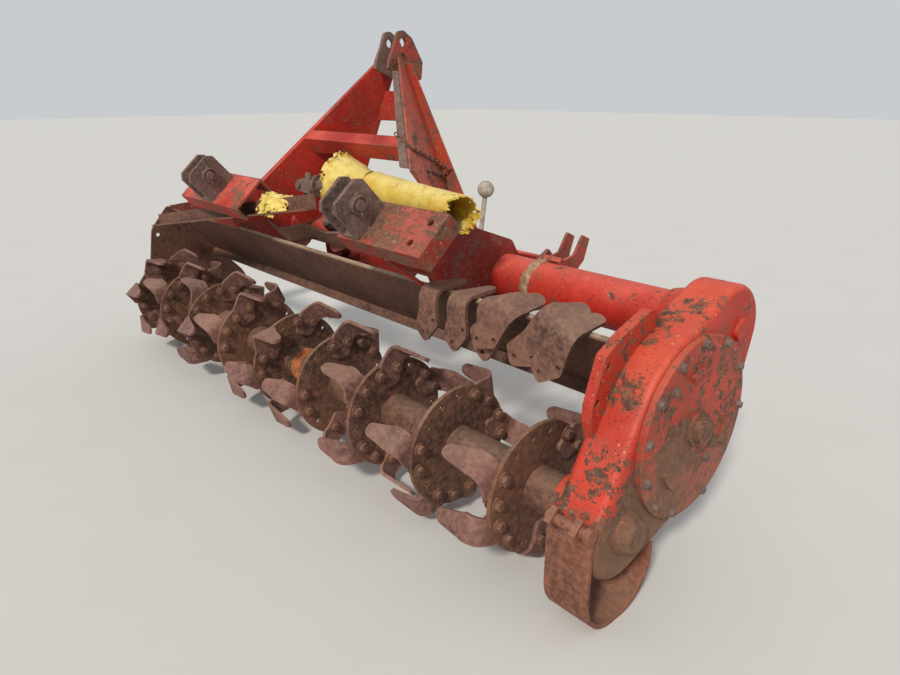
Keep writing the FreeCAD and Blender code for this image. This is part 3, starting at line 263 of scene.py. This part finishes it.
def painted_iron(name, paint, deep, fade_and_highlight_colour, rust_share, dirt=0.35, soil_top=0.12, spots=()):
    """Paint paler on top, in part sun-faded and in part a painted highlight, with a brown film, worn
    edges, chips, drag marks, dark specks and low soil.
    """
    finish = Finish(name)
    wide = finish.noise(2.6, 4.0, 0.55, 0.4)
    blotch = finish.noise(12.0, 10.0, 0.70, 0.5)
    small = finish.noise(55.0, 6.0, 0.68)
    drag = finish.noise(13.0, 8.0, 0.75, 0.0, finish.stretched(0.8, 2.2, 5.0))
    coat_colour = finish.mix(finish.between(wide, 0.36, 0.66), deep, paint)
    # Paler where it faces up: in part sun-faded paint, in part a painted highlight on the sunlit
    # tops.
    fade_and_highlight = finish.between(finish.facing_up() * 0.5 + finish.noise(7.0, 5.0) * 0.9, 0.58, 1.0)
    coat_colour = finish.mix(fade_and_highlight * 0.85, coat_colour, fade_and_highlight_colour)
    shade = finish.mix(small, rgb(165, 125, 110), rgb(255, 255, 255))
    coat_colour = finish.dimmed(0.75, coat_colour, shade)
    film = finish.between(finish.noise(5.5, 8.0, 0.7, 0.8), 0.45, 0.70)
    coat_colour = finish.mix(film * (0.18 + 0.5 * rust_share), coat_colour, rgb(142, 82, 60))
    rust = rust_layers(finish, rgb(62, 42, 35), rgb(110, 72, 54), rgb(150, 106, 80))
    worn = blotch * 0.50 + small * 0.33 + drag * 0.17 + wide * 0.12 + finish.edges(0.006) * 0.07
    for centre, inner, outer in spots:
        worn = worn + finish.near(centre, inner, outer) * 0.12
    border = 0.64 - 0.12 * rust_share
    halo = finish.between(worn, border - 0.035, border + 0.01)
    colour = finish.mix(halo * 0.5, coat_colour, rgb(150, 78, 54))
    bare = finish.between(worn, border, border + 0.02)
    colour = finish.mix(bare, colour, rust)
    specks = finish.between(finish.cells(95.0) + finish.noise(22.0, 3.0) * 0.5, 0.43, 0.36)
    colour = finish.mix(specks * 0.8, colour, rgb(52, 38, 34))
    pale = finish.between(finish.cells(60.0) + finish.noise(17.0, 4.0) * 0.5, 0.36, 0.30)
    colour = finish.mix(pale * 0.5, colour, rgb(206, 170, 150))
    depth = finish.noise(7.0, 9.0, 0.72) * 0.9 - finish.height() * 1.6 - 0.2
    soil = finish.between(depth, 0.2 - 1.6 * soil_top, 0.55 - 1.6 * soil_top)
    earth = finish.mix(small, rgb(96, 70, 52), rgb(140, 104, 78))
    colour = finish.mix(soil * dirt, colour, earth)
    rough = 0.52 + bare * 0.34 + small * 0.10
    bump = 0.6 - bare * 0.35 + small * 0.35 - specks * 0.35 + blotch * 0.25
    return finish.finish(colour, rough, 0.0, bump, 0.0018)


def rusty_iron(name, dark, brown, pale, dusty=0.35, polish=0.0):
    """Bare iron gone brown, with darker clouds, pits and pale dust on what faces up."""
    finish = Finish(name)
    colour = rust_layers(finish, dark, brown, pale)
    blotch = finish.noise(14.0, 8.0, 0.65, 0.6)
    grain = finish.noise(150.0, 4.0, 0.7)
    pits = finish.between(finish.cells(120.0) + blotch * 0.45, 0.42, 0.30)
    colour = finish.mix(pits * 0.55, colour, dark)
    dust = finish.between(finish.facing_up() * 0.5 + finish.noise(6.0, 6.0, 0.65) * 0.9, 0.60, 1.10)
    colour = finish.mix(dust * dusty, colour, rgb(168, 138, 116))
    rim = finish.edges(0.004)
    colour = finish.mix(rim * 0.45, colour, pale)
    rough = 0.84 - blotch * 0.18 - rim * (0.10 + 0.3 * polish)
    bump = grain * 0.35 + blotch * 0.45 - pits * 0.5
    return finish.finish(colour, rough, 0.12 + 0.25 * polish, bump, 0.0013)


def guard_plastic(name):
    """Brittle yellow plastic, paler on top, in part sun-bleached and in part a painted highlight,
    with cracks, scuffs and dirt.
    """
    finish = Finish(name)
    cloud = finish.between(finish.noise(6.0, 5.0, 0.6, 0.4), 0.36, 0.66)
    base = finish.mix(cloud, rgb(204, 168, 52), rgb(218, 192, 96))
    # Paler where it faces up: in part sun-bleached plastic, in part a painted highlight.
    pale = finish.between(finish.facing_up() * 0.5 + finish.noise(16.0, 6.0, 0.6) * 0.6, 0.45, 0.85)
    base = finish.mix(pale * 0.75, base, rgb(236, 218, 140))
    drawn = finish.stretched(0.5, 3.0, 3.0)
    streak = finish.between(finish.noise(16.0, 6.0, 0.7, 0.0, drawn), 0.52, 0.70)
    base = finish.mix(streak * 0.6, base, rgb(160, 124, 58))
    grime = finish.between(finish.noise(26.0, 8.0, 0.72, 0.6), 0.54, 0.68)
    base = finish.mix(grime * 0.55, base, rgb(122, 98, 56))
    specks = finish.between(finish.cells(70.0) + finish.noise(12.0, 4.0) * 0.5, 0.36, 0.30)
    base = finish.mix(specks * 0.8, base, rgb(84, 66, 36))
    bump = finish.noise(60.0, 5.0, 0.6) * 0.4 - specks * 0.5 - streak * 0.2
    return finish.finish(base, 0.52 + streak * 0.2, 0.0, bump, 0.0008)


def faded_twine(name):
    """Orange twine gone pale, with brown dirt between its fibres."""
    finish = Finish(name)
    fibre = finish.noise(160.0, 5.0, 0.7, 0.0, finish.stretched(2.0, 0.6, 0.6))
    colour = finish.mix(finish.between(fibre, 0.38, 0.62), rgb(134, 74, 40), rgb(214, 128, 70))
    dirt = finish.between(finish.noise(30.0, 5.0), 0.45, 0.65)
    colour = finish.mix(dirt * 0.6, colour, rgb(110, 78, 56))
    return finish.finish(colour, 0.8, 0.0, fibre, 0.0006)


def plain_material(name, colour, roughness):
    """One colour, slightly clouded."""
    finish = Finish(name)
    darker = tuple(part * 0.94 for part in colour[:3]) + (1.0,)
    shade = finish.mix(finish.noise(3.0, 3.0), colour, darker)
    return finish.finish(shade, roughness)


RED = rgb(220, 54, 32)
DEEP_RED = rgb(158, 30, 22)
# Pale pink for the tops of the red paints: in part sun-faded paint, in part a painted highlight.
PINK_FADE_AND_HIGHLIGHT = rgb(230, 116, 98)
HUB = row(COVER_FACE + HUB_DEPTH, IDLER_BACK, IDLER_LIFT)
HUB_SIDE = HUB - Vector((0, 0.07, 0.02))
CAP = parked(COVER_FACE + CAP_DEPTH, 0, 0)

case_paint = painted_iron("case_paint", rgb(226, 64, 34), rgb(196, 48, 26), rgb(232, 96, 66),
                          0.40, 0.9, 0.32, [(CAP, 0.02, 0.21)])
cover_paint = painted_iron("cover_paint", rgb(212, 68, 38), rgb(180, 56, 32), rgb(214, 96, 66),
                           0.54, 0.7, 0.40, [(HUB, 0.030, 0.040), (HUB_SIDE, 0.02, 0.09)])
cap_paint = painted_iron("cap_paint", rgb(190, 78, 52), rgb(150, 62, 42), rgb(186, 110, 82),
                         0.80, 0.85, 0.30, [(CAP, 0.03, 0.06)])
# The mast's legs take one red paint in two copies: mast_paint on the left leg, and a paler
# orange-tan copy on the right leg as a painted sunlit side.
mast_paint = painted_iron("mast_paint", RED, DEEP_RED, PINK_FADE_AND_HIGHLIGHT, 0.20, 0.1)
sunlit_mast_paint = painted_iron("sunlit_mast_paint", rgb(210, 104, 72), rgb(192, 66, 46), PINK_FADE_AND_HIGHLIGHT, 0.42, 0.1)
hood_paint = painted_iron("hood_paint", RED, rgb(134, 28, 22), PINK_FADE_AND_HIGHLIGHT, 0.46, 0.25)
beam_paint = painted_iron("beam_paint", rgb(230, 60, 32), rgb(196, 44, 30), rgb(232, 100, 80),
                          0.12, 0.2)
arm_paint = painted_iron("arm_paint", rgb(206, 64, 44), rgb(150, 40, 28), rgb(196, 108, 90),
                         0.74, 0.2)
rotor_rust = rusty_iron("rotor_rust", rgb(58, 40, 34), rgb(106, 72, 56), rgb(150, 104, 78))
tine_rust = rusty_iron("tine_rust", rgb(80, 54, 48), rgb(126, 86, 76), rgb(164, 120, 104),
                       0.35, 0.35)
plate_rust = rusty_iron("plate_rust", rgb(60, 40, 34), rgb(100, 66, 52), rgb(140, 94, 72), 0.25)
shoe_rust = rusty_iron("shoe_rust", rgb(82, 50, 40), rgb(128, 78, 58), rgb(168, 108, 80),
                       0.3, 0.1)
clevis_rust = rusty_iron("clevis_rust", rgb(72, 54, 50), rgb(112, 86, 76), rgb(146, 118, 104),
                         0.3, 0.15)
worn_bar = rusty_iron("worn_bar", rgb(84, 66, 54), rgb(148, 126, 104), rgb(196, 178, 152), 0.5)
spare_rust = rusty_iron("spare_rust", rgb(72, 48, 42), rgb(116, 78, 64), rgb(154, 110, 88), 0.3)
weld_crust = rusty_iron("weld_crust", rgb(96, 62, 46), rgb(158, 118, 88), rgb(206, 176, 140), 0.4)
knob_pale = rusty_iron("knob_pale", rgb(122, 112, 100), rgb(176, 166, 148), rgb(214, 206, 190), 0.4)
yellow = guard_plastic("guard_plastic")
twine_fibre = faded_twine("twine_fibre")

# The finish of each carried-over piece; the nine sets of tines take tine_rust.
NODE_FINISH = {
    "rotor_shaft": rotor_rust, "gear_case": case_paint, "gear_cover": cover_paint,
    "rotor_cap": cap_paint, "beam_pad": case_paint, "case_shoe": shoe_rust, "shoe_clamp": shoe_rust,
    "beam_right": beam_paint, "beam_left": hood_paint, "gearbox": hood_paint,
    "input_shaft": clevis_rust, "headstock_right": hood_paint, "headstock_left": hood_paint,
    "hood_deck": plate_rust, "hood_lip_rail": worn_bar,
    "side_plate_left": plate_rust, "side_plate_right": hood_paint, "beam_end_plate": hood_paint,
    "left_bearing": plate_rust, "left_skid": plate_rust, "hitch_arm_left": hood_paint,
    "hitch_arm_right": arm_paint, "clevis_left": clevis_rust, "clevis_right": clevis_rust,
    "hitch_pin_left": clevis_rust, "hitch_pin_right": clevis_rust, "mast_leg_left": mast_paint,
    "mast_leg_right": sunlit_mast_paint, "mast_ear_left": clevis_rust, "mast_ear_right": arm_paint,
    "mast_cross_bar": mast_paint, "mast_gusset": mast_paint, "mast_brace": clevis_rust,
    "hinge_bracket": hood_paint, "stay_bracket": hood_paint, "lever": knob_pale, "pto_tube": yellow,
    "pto_cone": yellow, "pto_yoke": clevis_rust, "angle_rail": plate_rust, "bent_plate": plate_rust,
    "strut_rod": hood_paint, "spare_tines": spare_rust,
}


def dress_frame():
    """Gives every carried-over piece its finish."""
    for name, piece in nodes.items():
        piece.data.materials.clear()
        piece.data.materials.append(NODE_FINISH.get(name, tine_rust))


# Modelling helpers


def deselect():
    bpy.ops.object.select_all(action="DESELECT")


def select(*pieces):
    """Selects these pieces alone, the first of them active."""
    deselect()
    for piece in pieces:
        piece.select_set(True)
    bpy.context.view_layer.objects.active = pieces[0]


def settle(piece):
    """Puts a piece's place into its mesh."""
    select(piece)
    bpy.ops.object.transform_apply(location=True, rotation=True, scale=True)
    return piece


def disc(radius, depth, sides, centre=(0, 0, 0), bevel=0.0):
    """A round or many-sided blank along Z, with its top edge bevelled."""
    deselect()
    bpy.ops.mesh.primitive_cylinder_add(vertices=sides, radius=radius, depth=depth, location=centre)
    piece = bpy.context.object
    settle(piece)
    if bevel:
        bpy.ops.object.mode_set(mode="EDIT")
        bpy.ops.mesh.select_all(action="DESELECT")
        bpy.ops.object.mode_set(mode="OBJECT")
        top = centre[2] + depth / 2
        for edge in piece.data.edges:
            heights = [piece.data.vertices[index].co.z for index in edge.vertices]
            edge.select = all(abs(height - top) < 1e-6 for height in heights)
        bpy.ops.object.mode_set(mode="EDIT")
        bpy.ops.mesh.select_mode(type="EDGE")
        bpy.ops.mesh.bevel(offset=bevel, segments=2, affect="EDGES")
        bpy.ops.object.mode_set(mode="OBJECT")
    return piece


def wire_ring(radius, wire, around, across, rotation=(0, 0, 0)):
    """A round ring of wire about Z, at the origin, unless it is rotated."""
    deselect()
    bpy.ops.mesh.primitive_torus_add(major_radius=radius, minor_radius=wire,
                                     major_segments=around, minor_segments=across,
                                     location=(0, 0, 0), rotation=rotation)
    return bpy.context.object


def stretch(factors):
    """Stretches the whole of the active piece from the origin."""
    bpy.ops.object.mode_set(mode="EDIT")
    bpy.ops.mesh.select_all(action="SELECT")
    bpy.ops.transform.resize(value=factors, center_override=(0, 0, 0))
    bpy.ops.object.mode_set(mode="OBJECT")


def break_out(piece, chosen):
    """Breaks out the faces that a test chooses, face by face in order."""
    bpy.ops.object.mode_set(mode="EDIT")
    bpy.ops.mesh.select_mode(type="FACE")
    bpy.ops.mesh.select_all(action="DESELECT")
    bpy.ops.object.mode_set(mode="OBJECT")
    for face in piece.data.polygons:
        face.select = chosen(face.center)
    bpy.ops.object.mode_set(mode="EDIT")
    bpy.ops.mesh.delete(type="FACE")
    bpy.ops.object.mode_set(mode="OBJECT")


def thicken(piece, wall):
    """Gives a skin its wall, inwards."""
    select(piece)
    skin = piece.modifiers.new("wall", "SOLIDIFY")
    skin.thickness = wall
    skin.offset = -1
    bpy.ops.object.modifier_apply(modifier="wall")


def join(pieces, name):
    """Makes one piece of several."""
    select(*pieces)
    bpy.ops.object.join()
    piece = bpy.context.object
    piece.name = name
    piece.data.name = name
    return piece


def turned_to(way, spin=0.0):
    """The rotation that turns +Z to a direction."""
    return Vector(way).to_track_quat("Z", "Y").to_matrix().to_4x4() @ Matrix.Rotation(spin, 4, "Z")


def copies(pattern, places):
    """Copies of a pattern, each with its own mesh, at (place, way, spin)."""
    made = []
    for place, way, spin in places:
        piece = pattern.copy()
        piece.data = pattern.data.copy()
        bpy.context.scene.collection.objects.link(piece)
        piece.data.transform(Matrix.Translation(place) @ turned_to(way, spin))
        made.append(piece)
    return made


def finish_piece(piece, name, body, material, angle=35.0):
    """Smooths a finished piece, gives it its material and lets it ride on its body."""
    piece.name = name
    select(piece)
    bpy.ops.object.shade_smooth_by_angle(angle=math.radians(angle))
    piece.data.materials.clear()
    piece.data.materials.append(material)
    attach(piece, body)
    return piece


def scatter(pattern, places, name, body, material):
    """One joined piece of many copies; the pattern itself goes."""
    piece = join(copies(pattern, places), name)
    bpy.data.objects.remove(pattern)
    return finish_piece(piece, name, body, material)


def hex_bolt(flats, depth, washer=0.0, stub=0.0):
    """Six-sided head standing on Z = 0, with a washer under it and a stub of thread above it."""
    parts = [disc(flats / math.sqrt(3), depth, 6, (0, 0, depth / 2 + washer), flats * 0.06)]
    if washer:
        parts.append(disc(flats * 0.82, washer, 20, (0, 0, washer / 2), washer * 0.3))
    if stub:
        parts.append(disc(flats * 0.27, stub, 12, (0, 0, depth + washer + stub / 2), flats * 0.05))
    return join(parts, "bolt_pattern")


# Rotor

# Angle of the first place for a tine on each flange, as parked.
FIRST_PLACES = (18.4, 8.3, 6, 22, 5, 21, 14, 12.5, 8)

# Tines on each flange: the place round it, and the flange face that carries the shank.
TINES = (
    ((6, -1), (8, -1), (11, 1), (13, -1), (1, 1)),
    ((7, -1), (10, -1), (2, -1), (0, 1), (12, -1)),
    ((9, -1), (6, -1), (4, 1), (1, 1), (11, 1)),
    ((7, -1), (3, 1), (1, -1), (10, 1), (12, -1)),
    ((6, 1), (8, -1), (3, 1), (10, 1), (12, -1), (0, -1)),
    ((6, -1), (4, 1), (2, -1), (9, 1), (11, -1), (13, 1)),
    ((5, -1), (3, 1), (7, 1), (1, -1), (9, -1), (12, 1)),
    ((4, 1), (6, -1), (2, -1), (8, 1), (11, -1), (13, 1)),
    ((5, 1), (3, -1), (7, -1), (9, 1), (12, -1), (1, 1)),
)


def tine_bolts():
    """Two bolts through every tine and its flange: heads to the right, nuts to the left."""
    chance = random.Random(7)
    heads = []
    nuts = []
    for number, rows in enumerate(TINES):
        x = -FLANGE_PITCH * number
        for place, face in rows:
            for turn in (-0.5, 0.5):
                angle = FIRST_PLACES[number] + (place + turn) * 360 / TINE_PLACES
                bearing = math.radians(angle)
                back = TINE_BOLT_RADIUS * math.cos(bearing)
                lift = TINE_BOLT_RADIUS * math.sin(bearing)
                right = x + FLANGE_HALF + (TINE_PLATE if face > 0 else 0)
                left = x - FLANGE_HALF - (TINE_PLATE if face < 0 else 0)
                heads.append((parked(right, back, lift), (1, 0, 0), chance.uniform(0, 1)))
                nuts.append((parked(left, back, lift), (-1, 0, 0), chance.uniform(0, 1)))
    scatter(hex_bolt(*TINE_HEAD), heads, "tine_bolt_heads", "rotor", rotor_rust)
    scatter(hex_bolt(*TINE_NUT), nuts, "tine_bolt_nuts", "rotor", rotor_rust)


# Gear case, left bearing and beam

# Bolts round the gear cover: distance from its centre, and angle in the working frame.
RIM_ANGLES = (-166, -141, -114, -88, -61, -22, 46, 78, 110, 140, 168)
COVER_BOLTS = [(COVER_BOLT_RADIUS, angle) for angle in RIM_ANGLES] + [(0.109, -8), (0.156, -179)]


def cover_bolts():
    """Cap screws that hold the cover, no two turned alike."""
    chance = random.Random(11)
    places = []
    for reach, angle in COVER_BOLTS:
        bearing = math.radians(angle)
        back = IDLER_BACK + reach * math.cos(bearing)
        lift = IDLER_LIFT + reach * math.sin(bearing)
        places.append((row(COVER_FACE, back, lift), (1, 0, 0), chance.uniform(0, 1)))
    scatter(hex_bolt(*COVER_SCREW), places, "cover_bolts", "root", clevis_rust)


def bearing_bolts():
    """Bolts through the flange of the left bearing."""
    places = []
    for number in range(BEARING_BOLT_COUNT):
        bearing = math.radians(360 / BEARING_BOLT_COUNT * number + BEARING_BOLT_TURN)
        back = BEARING_BOLT_RADIUS * math.cos(bearing)
        lift = BEARING_BOLT_RADIUS * math.sin(bearing)
        place = parked(-LEFT_PLATE - BEARING_FLANGE, back, lift)
        places.append((place, (-1, 0, 0), 0.37 * number))
    scatter(hex_bolt(*BEARING_BOLT), places, "bearing_bolts", "root", clevis_rust)


def twine_wrap():
    """Frayed twine wound tight on the rotor tube beside the fifth flange."""
    chance = random.Random(23)
    turns = []
    for number in range(TWINE_TURNS):
        turn = wire_ring(TWINE_RADIUS, TWINE_WIRE, 56, 6)
        for vertex in turn.data.vertices:
            vertex.co *= 1 + 0.012 * noise.noise(vertex.co * 45 + Vector((number * 3, 0, 0)))
        lean = Matrix.Rotation(chance.uniform(-0.05, 0.05), 4, "X")
        x = TWINE_START - TWINE_PITCH * number + chance.uniform(-0.001, 0.001)
        turned = turned_to((1, 0, 0), chance.uniform(0, 6)) @ lean
        turn.data.transform(Matrix.Translation(parked(x, 0, 0)) @ turned)
        turns.append(turn)
    twine = join(turns, "rotor_twine")
    finish_piece(twine, "rotor_twine", "rotor", twine_fibre, 60)


def weld_band():
    """Lumpy weld with baked-on soil, round the right half of the beam."""
    band = wire_ring(BEAM_RADIUS + WELD_LIFT, WELD_WIRE, 90, 10)
    stretch((1, 1, WELD_WIDENING))
    for vertex in band.data.vertices:
        lump = 1 + 0.045 * noise.noise(vertex.co * 95) + 0.03 * noise.noise(vertex.co * 260)
        vertex.co.x *= lump
        vertex.co.y *= lump
        vertex.co.z += 0.006 * noise.noise(vertex.co * 40 + Vector((3, 5, 7)))
    place = row(WELD_PLACE, 0, BEAM_LIFT)
    band.data.transform(Matrix.Translation(place) @ turned_to(row_way(1, 0, 0)))
    finish_piece(band, "beam_weld", "root", weld_crust, 50)


# Drive shaft guard

THROAT = row(-0.9000, -0.2293, 0.5422)
TUBE_START = row(-0.8806, -0.2325, 0.5385)
TUBE_END = row(-0.3283, -0.3229, 0.4343)
MOUTH = row(-1.0247, -0.2408, 0.5093)

# Radius of the guard's tube, and the share of its length that it holds at.
TUBE_RINGS = ((0.0450, 0), (0.0468, 0.015), (0.0468, 0.035), (0.0450, 0.05), (0.0448, 0.15),
              (0.0452, 0.27), (0.0447, 0.40), (0.0451, 0.52), (0.0449, 0.64), (0.0454, 0.735),
              (0.0430, 0.750), (0.0455, 0.765), (0.0449, 0.82), (0.0453, 0.86), (0.0449, 0.90),
              (0.0447, 0.94), (0.0442, 0.97), (0.0438, 0.995))

# The same for its cone: a bead at the throat, then a bell with two ridges.
CONE_RINGS = ((0.0440, 0), (0.0475, 0.03), (0.0475, 0.06), (0.0450, 0.09), (0.0520, 0.16),
              (0.0610, 0.25), (0.0690, 0.34), (0.0715, 0.37), (0.0710, 0.40), (0.0790, 0.50),
              (0.0860, 0.60), (0.0920, 0.70), (0.0945, 0.73), (0.0940, 0.76), (0.0985, 0.84),
              (0.1020, 0.90), (0.1045, 0.95), (0.1060, 0.99))

# Each shell: its node, rings, ends and sides, then the depth of its torn end, gaps and seed.
SHELLS = (("pto_tube", TUBE_RINGS, TUBE_START, TUBE_END, 64, 0.055, 0.22, 3),
          ("pto_cone", CONE_RINGS, THROAT, MOUTH, 72, 0.020, 0.06, 5))


def ringed_shell(rings, length, sides):
    """A round skin along Z, grown ring by ring."""
    deselect()
    bpy.ops.mesh.primitive_circle_add(vertices=sides, radius=rings[0][0], location=(0, 0, 0),
                                      fill_type="NOTHING")
    piece = bpy.context.object
    bpy.ops.object.mode_set(mode="EDIT")
    bpy.ops.mesh.select_mode(type="VERT")
    bpy.ops.mesh.select_all(action="SELECT")
    for (before, low), (after, high) in zip(rings, rings[1:]):
        step = (0, 0, (high - low) * length)
        bpy.ops.mesh.extrude_region_move(TRANSFORM_OT_translate={"value": step})
        share = after / before
        bpy.ops.transform.resize(value=(share, share, 1), center_override=(0, 0, high * length))
    bpy.ops.mesh.select_all(action="SELECT")
    bpy.ops.mesh.normals_make_consistent(inside=False)
    bpy.ops.object.mode_set(mode="OBJECT")
    return piece


def fray(piece, ragged, gaps, seed):
    """Dents a brittle skin, tears teeth along its far end and breaks bits out of it."""
    chance = random.Random(seed)
    top = max(vertex.co.z for vertex in piece.data.vertices)
    for vertex in piece.data.vertices:
        place = vertex.co.copy()
        hollow = noise.noise(place * 17 + Vector((seed, 0, 0)))
        dent = 1 + 0.035 * hollow + 0.012 * noise.noise(place * 60)
        end = max(0.0, 1 - (top - place.z) / (ragged * 1.6))
        bite = noise.noise(place.normalized() * 4.2 + Vector((0, seed, 0)))
        tear = 0.5 + 0.5 * bite + chance.uniform(-0.35, 0.35)
        vertex.co.x *= dent * (1 + 0.06 * end * chance.uniform(-1, 1))
        vertex.co.y *= dent * (1 + 0.06 * end * chance.uniform(-1, 1))
        vertex.co.z -= ragged * end * min(max(tear, 0.0), 1.0)
    break_out(piece, lambda centre: centre.z > top - ragged * 1.3 and chance.random() < gaps)


def shaft_guard():
    """The torn tube and the bell of the drive shaft's plastic guard."""
    for name, rings, start, end, sides, ragged, gaps, seed in SHELLS:
        way = end - start
        piece = ringed_shell(rings, way.length, sides)
        fray(piece, ragged, gaps, seed)
        thicken(piece, GUARD_WALL)
        piece.data.transform(Matrix.Translation(start) @ turned_to(way))
        finish_piece(piece, name + "_torn", "root", yellow, 40)
        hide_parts(name)


# Scraps on the angle rail: place along X, behind and above the rotor's axis, then size.
SCRAPS = ((-1.150, 0.020, 0.498, 0.100), (-1.095, 0.014, 0.499, 0.125),
          (-1.045, 0.010, 0.500, 0.085))


def scrap(number, x, back, lift, size):
    """One torn scrap of the guard, folded over the angle rail."""
    deselect()
    bpy.ops.mesh.primitive_grid_add(x_subdivisions=SCRAP_CELLS, y_subdivisions=SCRAP_CELLS,
                                    size=size, location=(0, 0, 0))
    piece = bpy.context.object
    chance = random.Random(31 + number)

    def torn_off(centre):
        out = max(abs(centre.x), abs(centre.y)) / (size / 2)
        return chance.random() < (out - 0.55) * 1.3

    break_out(piece, torn_off)
    for vertex in piece.data.vertices:
        across = vertex.co.y
        fold = -abs(across) * 0.85 if across < 0.01 else across * 0.1
        rough = noise.noise(vertex.co * 60 + Vector((number * 9, 0, 0))) * 0.010
        lay = across * 0.55 + rough * 0.6
        vertex.co = Vector((vertex.co.x * 1.1, lay, fold + abs(rough) + 0.002))
    askew = Matrix.Rotation(0.3 * number - 0.3, 4, "Z")
    piece.data.transform(Matrix.Translation(parked(x, back, lift)) @ askew)
    thicken(piece, SCRAP_WALL)
    return piece


def guard_scraps():
    """Torn scraps of the guard that lie on the angle rail."""
    scraps = join([scrap(number, *given) for number, given in enumerate(SCRAPS)], "guard_scraps")
    finish_piece(scraps, "guard_scraps", "root", yellow, 50)


# Chain and linch pins

# The chain's line in the working frame: from the brace across the right mast leg to its rim and
# back, lying on both.
CHAIN = ((-0.7669, -0.3504, 0.6447), (-0.7213, -0.3414, 0.6290), (-0.7130, -0.3350, 0.6223),
         (-0.7079, -0.3160, 0.6262), (-0.7419, -0.2486, 0.6646), (-0.7807, -0.1715, 0.7084),
         (-0.7707, -0.1526, 0.7151), (-0.7449, -0.1443, 0.7076), (-0.7737, -0.1339, 0.6981),
         (-0.7637, -0.1412, 0.6869), (-0.7116, -0.2318, 0.6277), (-0.6961, -0.2027, 0.6080))


def link_pattern():
    """One welded link, its long way along Z."""
    link = settle(wire_ring(LINK_RADIUS, LINK_WIRE, 12, 6, (0, math.pi / 2, 0)))
    stretch(LINK_SHAPE)
    return link


def chain():
    """Links along the chain's line, each turned across the one before it."""
    chance = random.Random(17)
    places = []
    carry = 0.0
    for first, last in zip(CHAIN, CHAIN[1:]):
        start = row(*first)
        way = row(*last) - start
        while carry < way.length:
            spin = (0.5 if len(places) % 2 else 2.07) + chance.uniform(-0.2, 0.2)
            places.append((start + way * (carry / way.length), way, spin))
            carry += LINK_PITCH
        carry -= way.length
    scatter(link_pattern(), places, "mast_chain", "root", plate_rust)


def linch_pins():
    """A cross pin through the free end of each lower hitch pin, with its ring round that end."""
    parts = []
    for name in ("hitch_pin_left", "hitch_pin_right"):
        low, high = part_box(name)
        ring = wire_ring(PIN_RING_RADIUS, PIN_RING_WIRE, 32, 8)
        ring.data.transform(Matrix.Rotation(0.18, 4, "X"))
        pin = disc(PIN_RADIUS, PIN_LENGTH, 14, (0, 0, 0), 0.001)
        pin.data.transform(Matrix.Rotation(math.pi / 2, 4, "X"))
        lock = join([ring, pin], "linch_pin")
        place = Vector((high.x - PIN_BACKSET, (low.y + high.y) / 2, (low.z + high.z) / 2))
        lock.data.transform(Matrix.Translation(place) @ turned_to((1, 0, 0), 0.3))
        parts.append(lock)
    pins = join(parts, "linch_pins")
    finish_piece(pins, "linch_pins", "root", clevis_rust)


# Stage

# The lens and its sensor are given in millimetres.
FLOOR_SIZE = 60
SKY_COLOUR = (0.94, 0.97, 1.0, 1.0)
SKY_STRENGTH = 0.62
SUN_COLOUR = (1.0, 0.97, 0.92)
SUN_STRENGTH = 2.6
SUN_SPREAD = 7
SUN_WAY = Vector((0.313, -0.713, 0.626))
SENSOR_WIDTH = 36.0
LENS = 27.04
CAMERA_PLACE = Vector((0.8097, -1.0006, 0.8062))
CAMERA_DOWN = 19.98
CAMERA_ROUND = 47.44


def stage():
    """Pale floor, soft sky and one sun."""
    floor_material = plain_material("floor", rgb(206, 203, 198), 0.9)
    deselect()
    bpy.ops.mesh.primitive_plane_add(size=FLOOR_SIZE, location=(0, 0, 0))
    floor = bpy.context.object
    floor.name = "floor"
    floor.data.materials.append(floor_material)
    world = bpy.data.worlds.new("studio")
    bpy.context.scene.world = world
    world.use_nodes = True
    sky = world.node_tree.nodes["Background"]
    sky.inputs["Color"].default_value = SKY_COLOUR
    sky.inputs["Strength"].default_value = SKY_STRENGTH
    sun = bpy.data.lights.new("sun", "SUN")
    sun.energy = SUN_STRENGTH
    sun.angle = math.radians(SUN_SPREAD)
    sun.color = SUN_COLOUR
    lamp = bpy.data.objects.new("sun", sun)
    bpy.context.scene.collection.objects.link(lamp)
    lamp.rotation_euler = SUN_WAY.to_track_quat("Z", "Y").to_euler()


def camera():
    """The photograph's camera, placed from the rotor's axis at the first flange."""
    data = bpy.data.cameras.new("camera")
    data.sensor_width = SENSOR_WIDTH
    data.lens = LENS
    data.clip_end = 200
    view = bpy.data.objects.new("camera", data)
    bpy.context.scene.collection.objects.link(view)
    view.location = ORIGIN + CAMERA_PLACE
    view.rotation_euler = (math.radians(90 - CAMERA_DOWN), 0, math.radians(CAMERA_ROUND))
    bpy.context.scene.camera = view


dress_frame()
tine_bolts()
cover_bolts()
bearing_bolts()
twine_wrap()
weld_band()
shaft_guard()
guard_scraps()
chain()
linch_pins()
stage()
camera()

bpy.context.scene.view_settings.view_transform = "Standard"
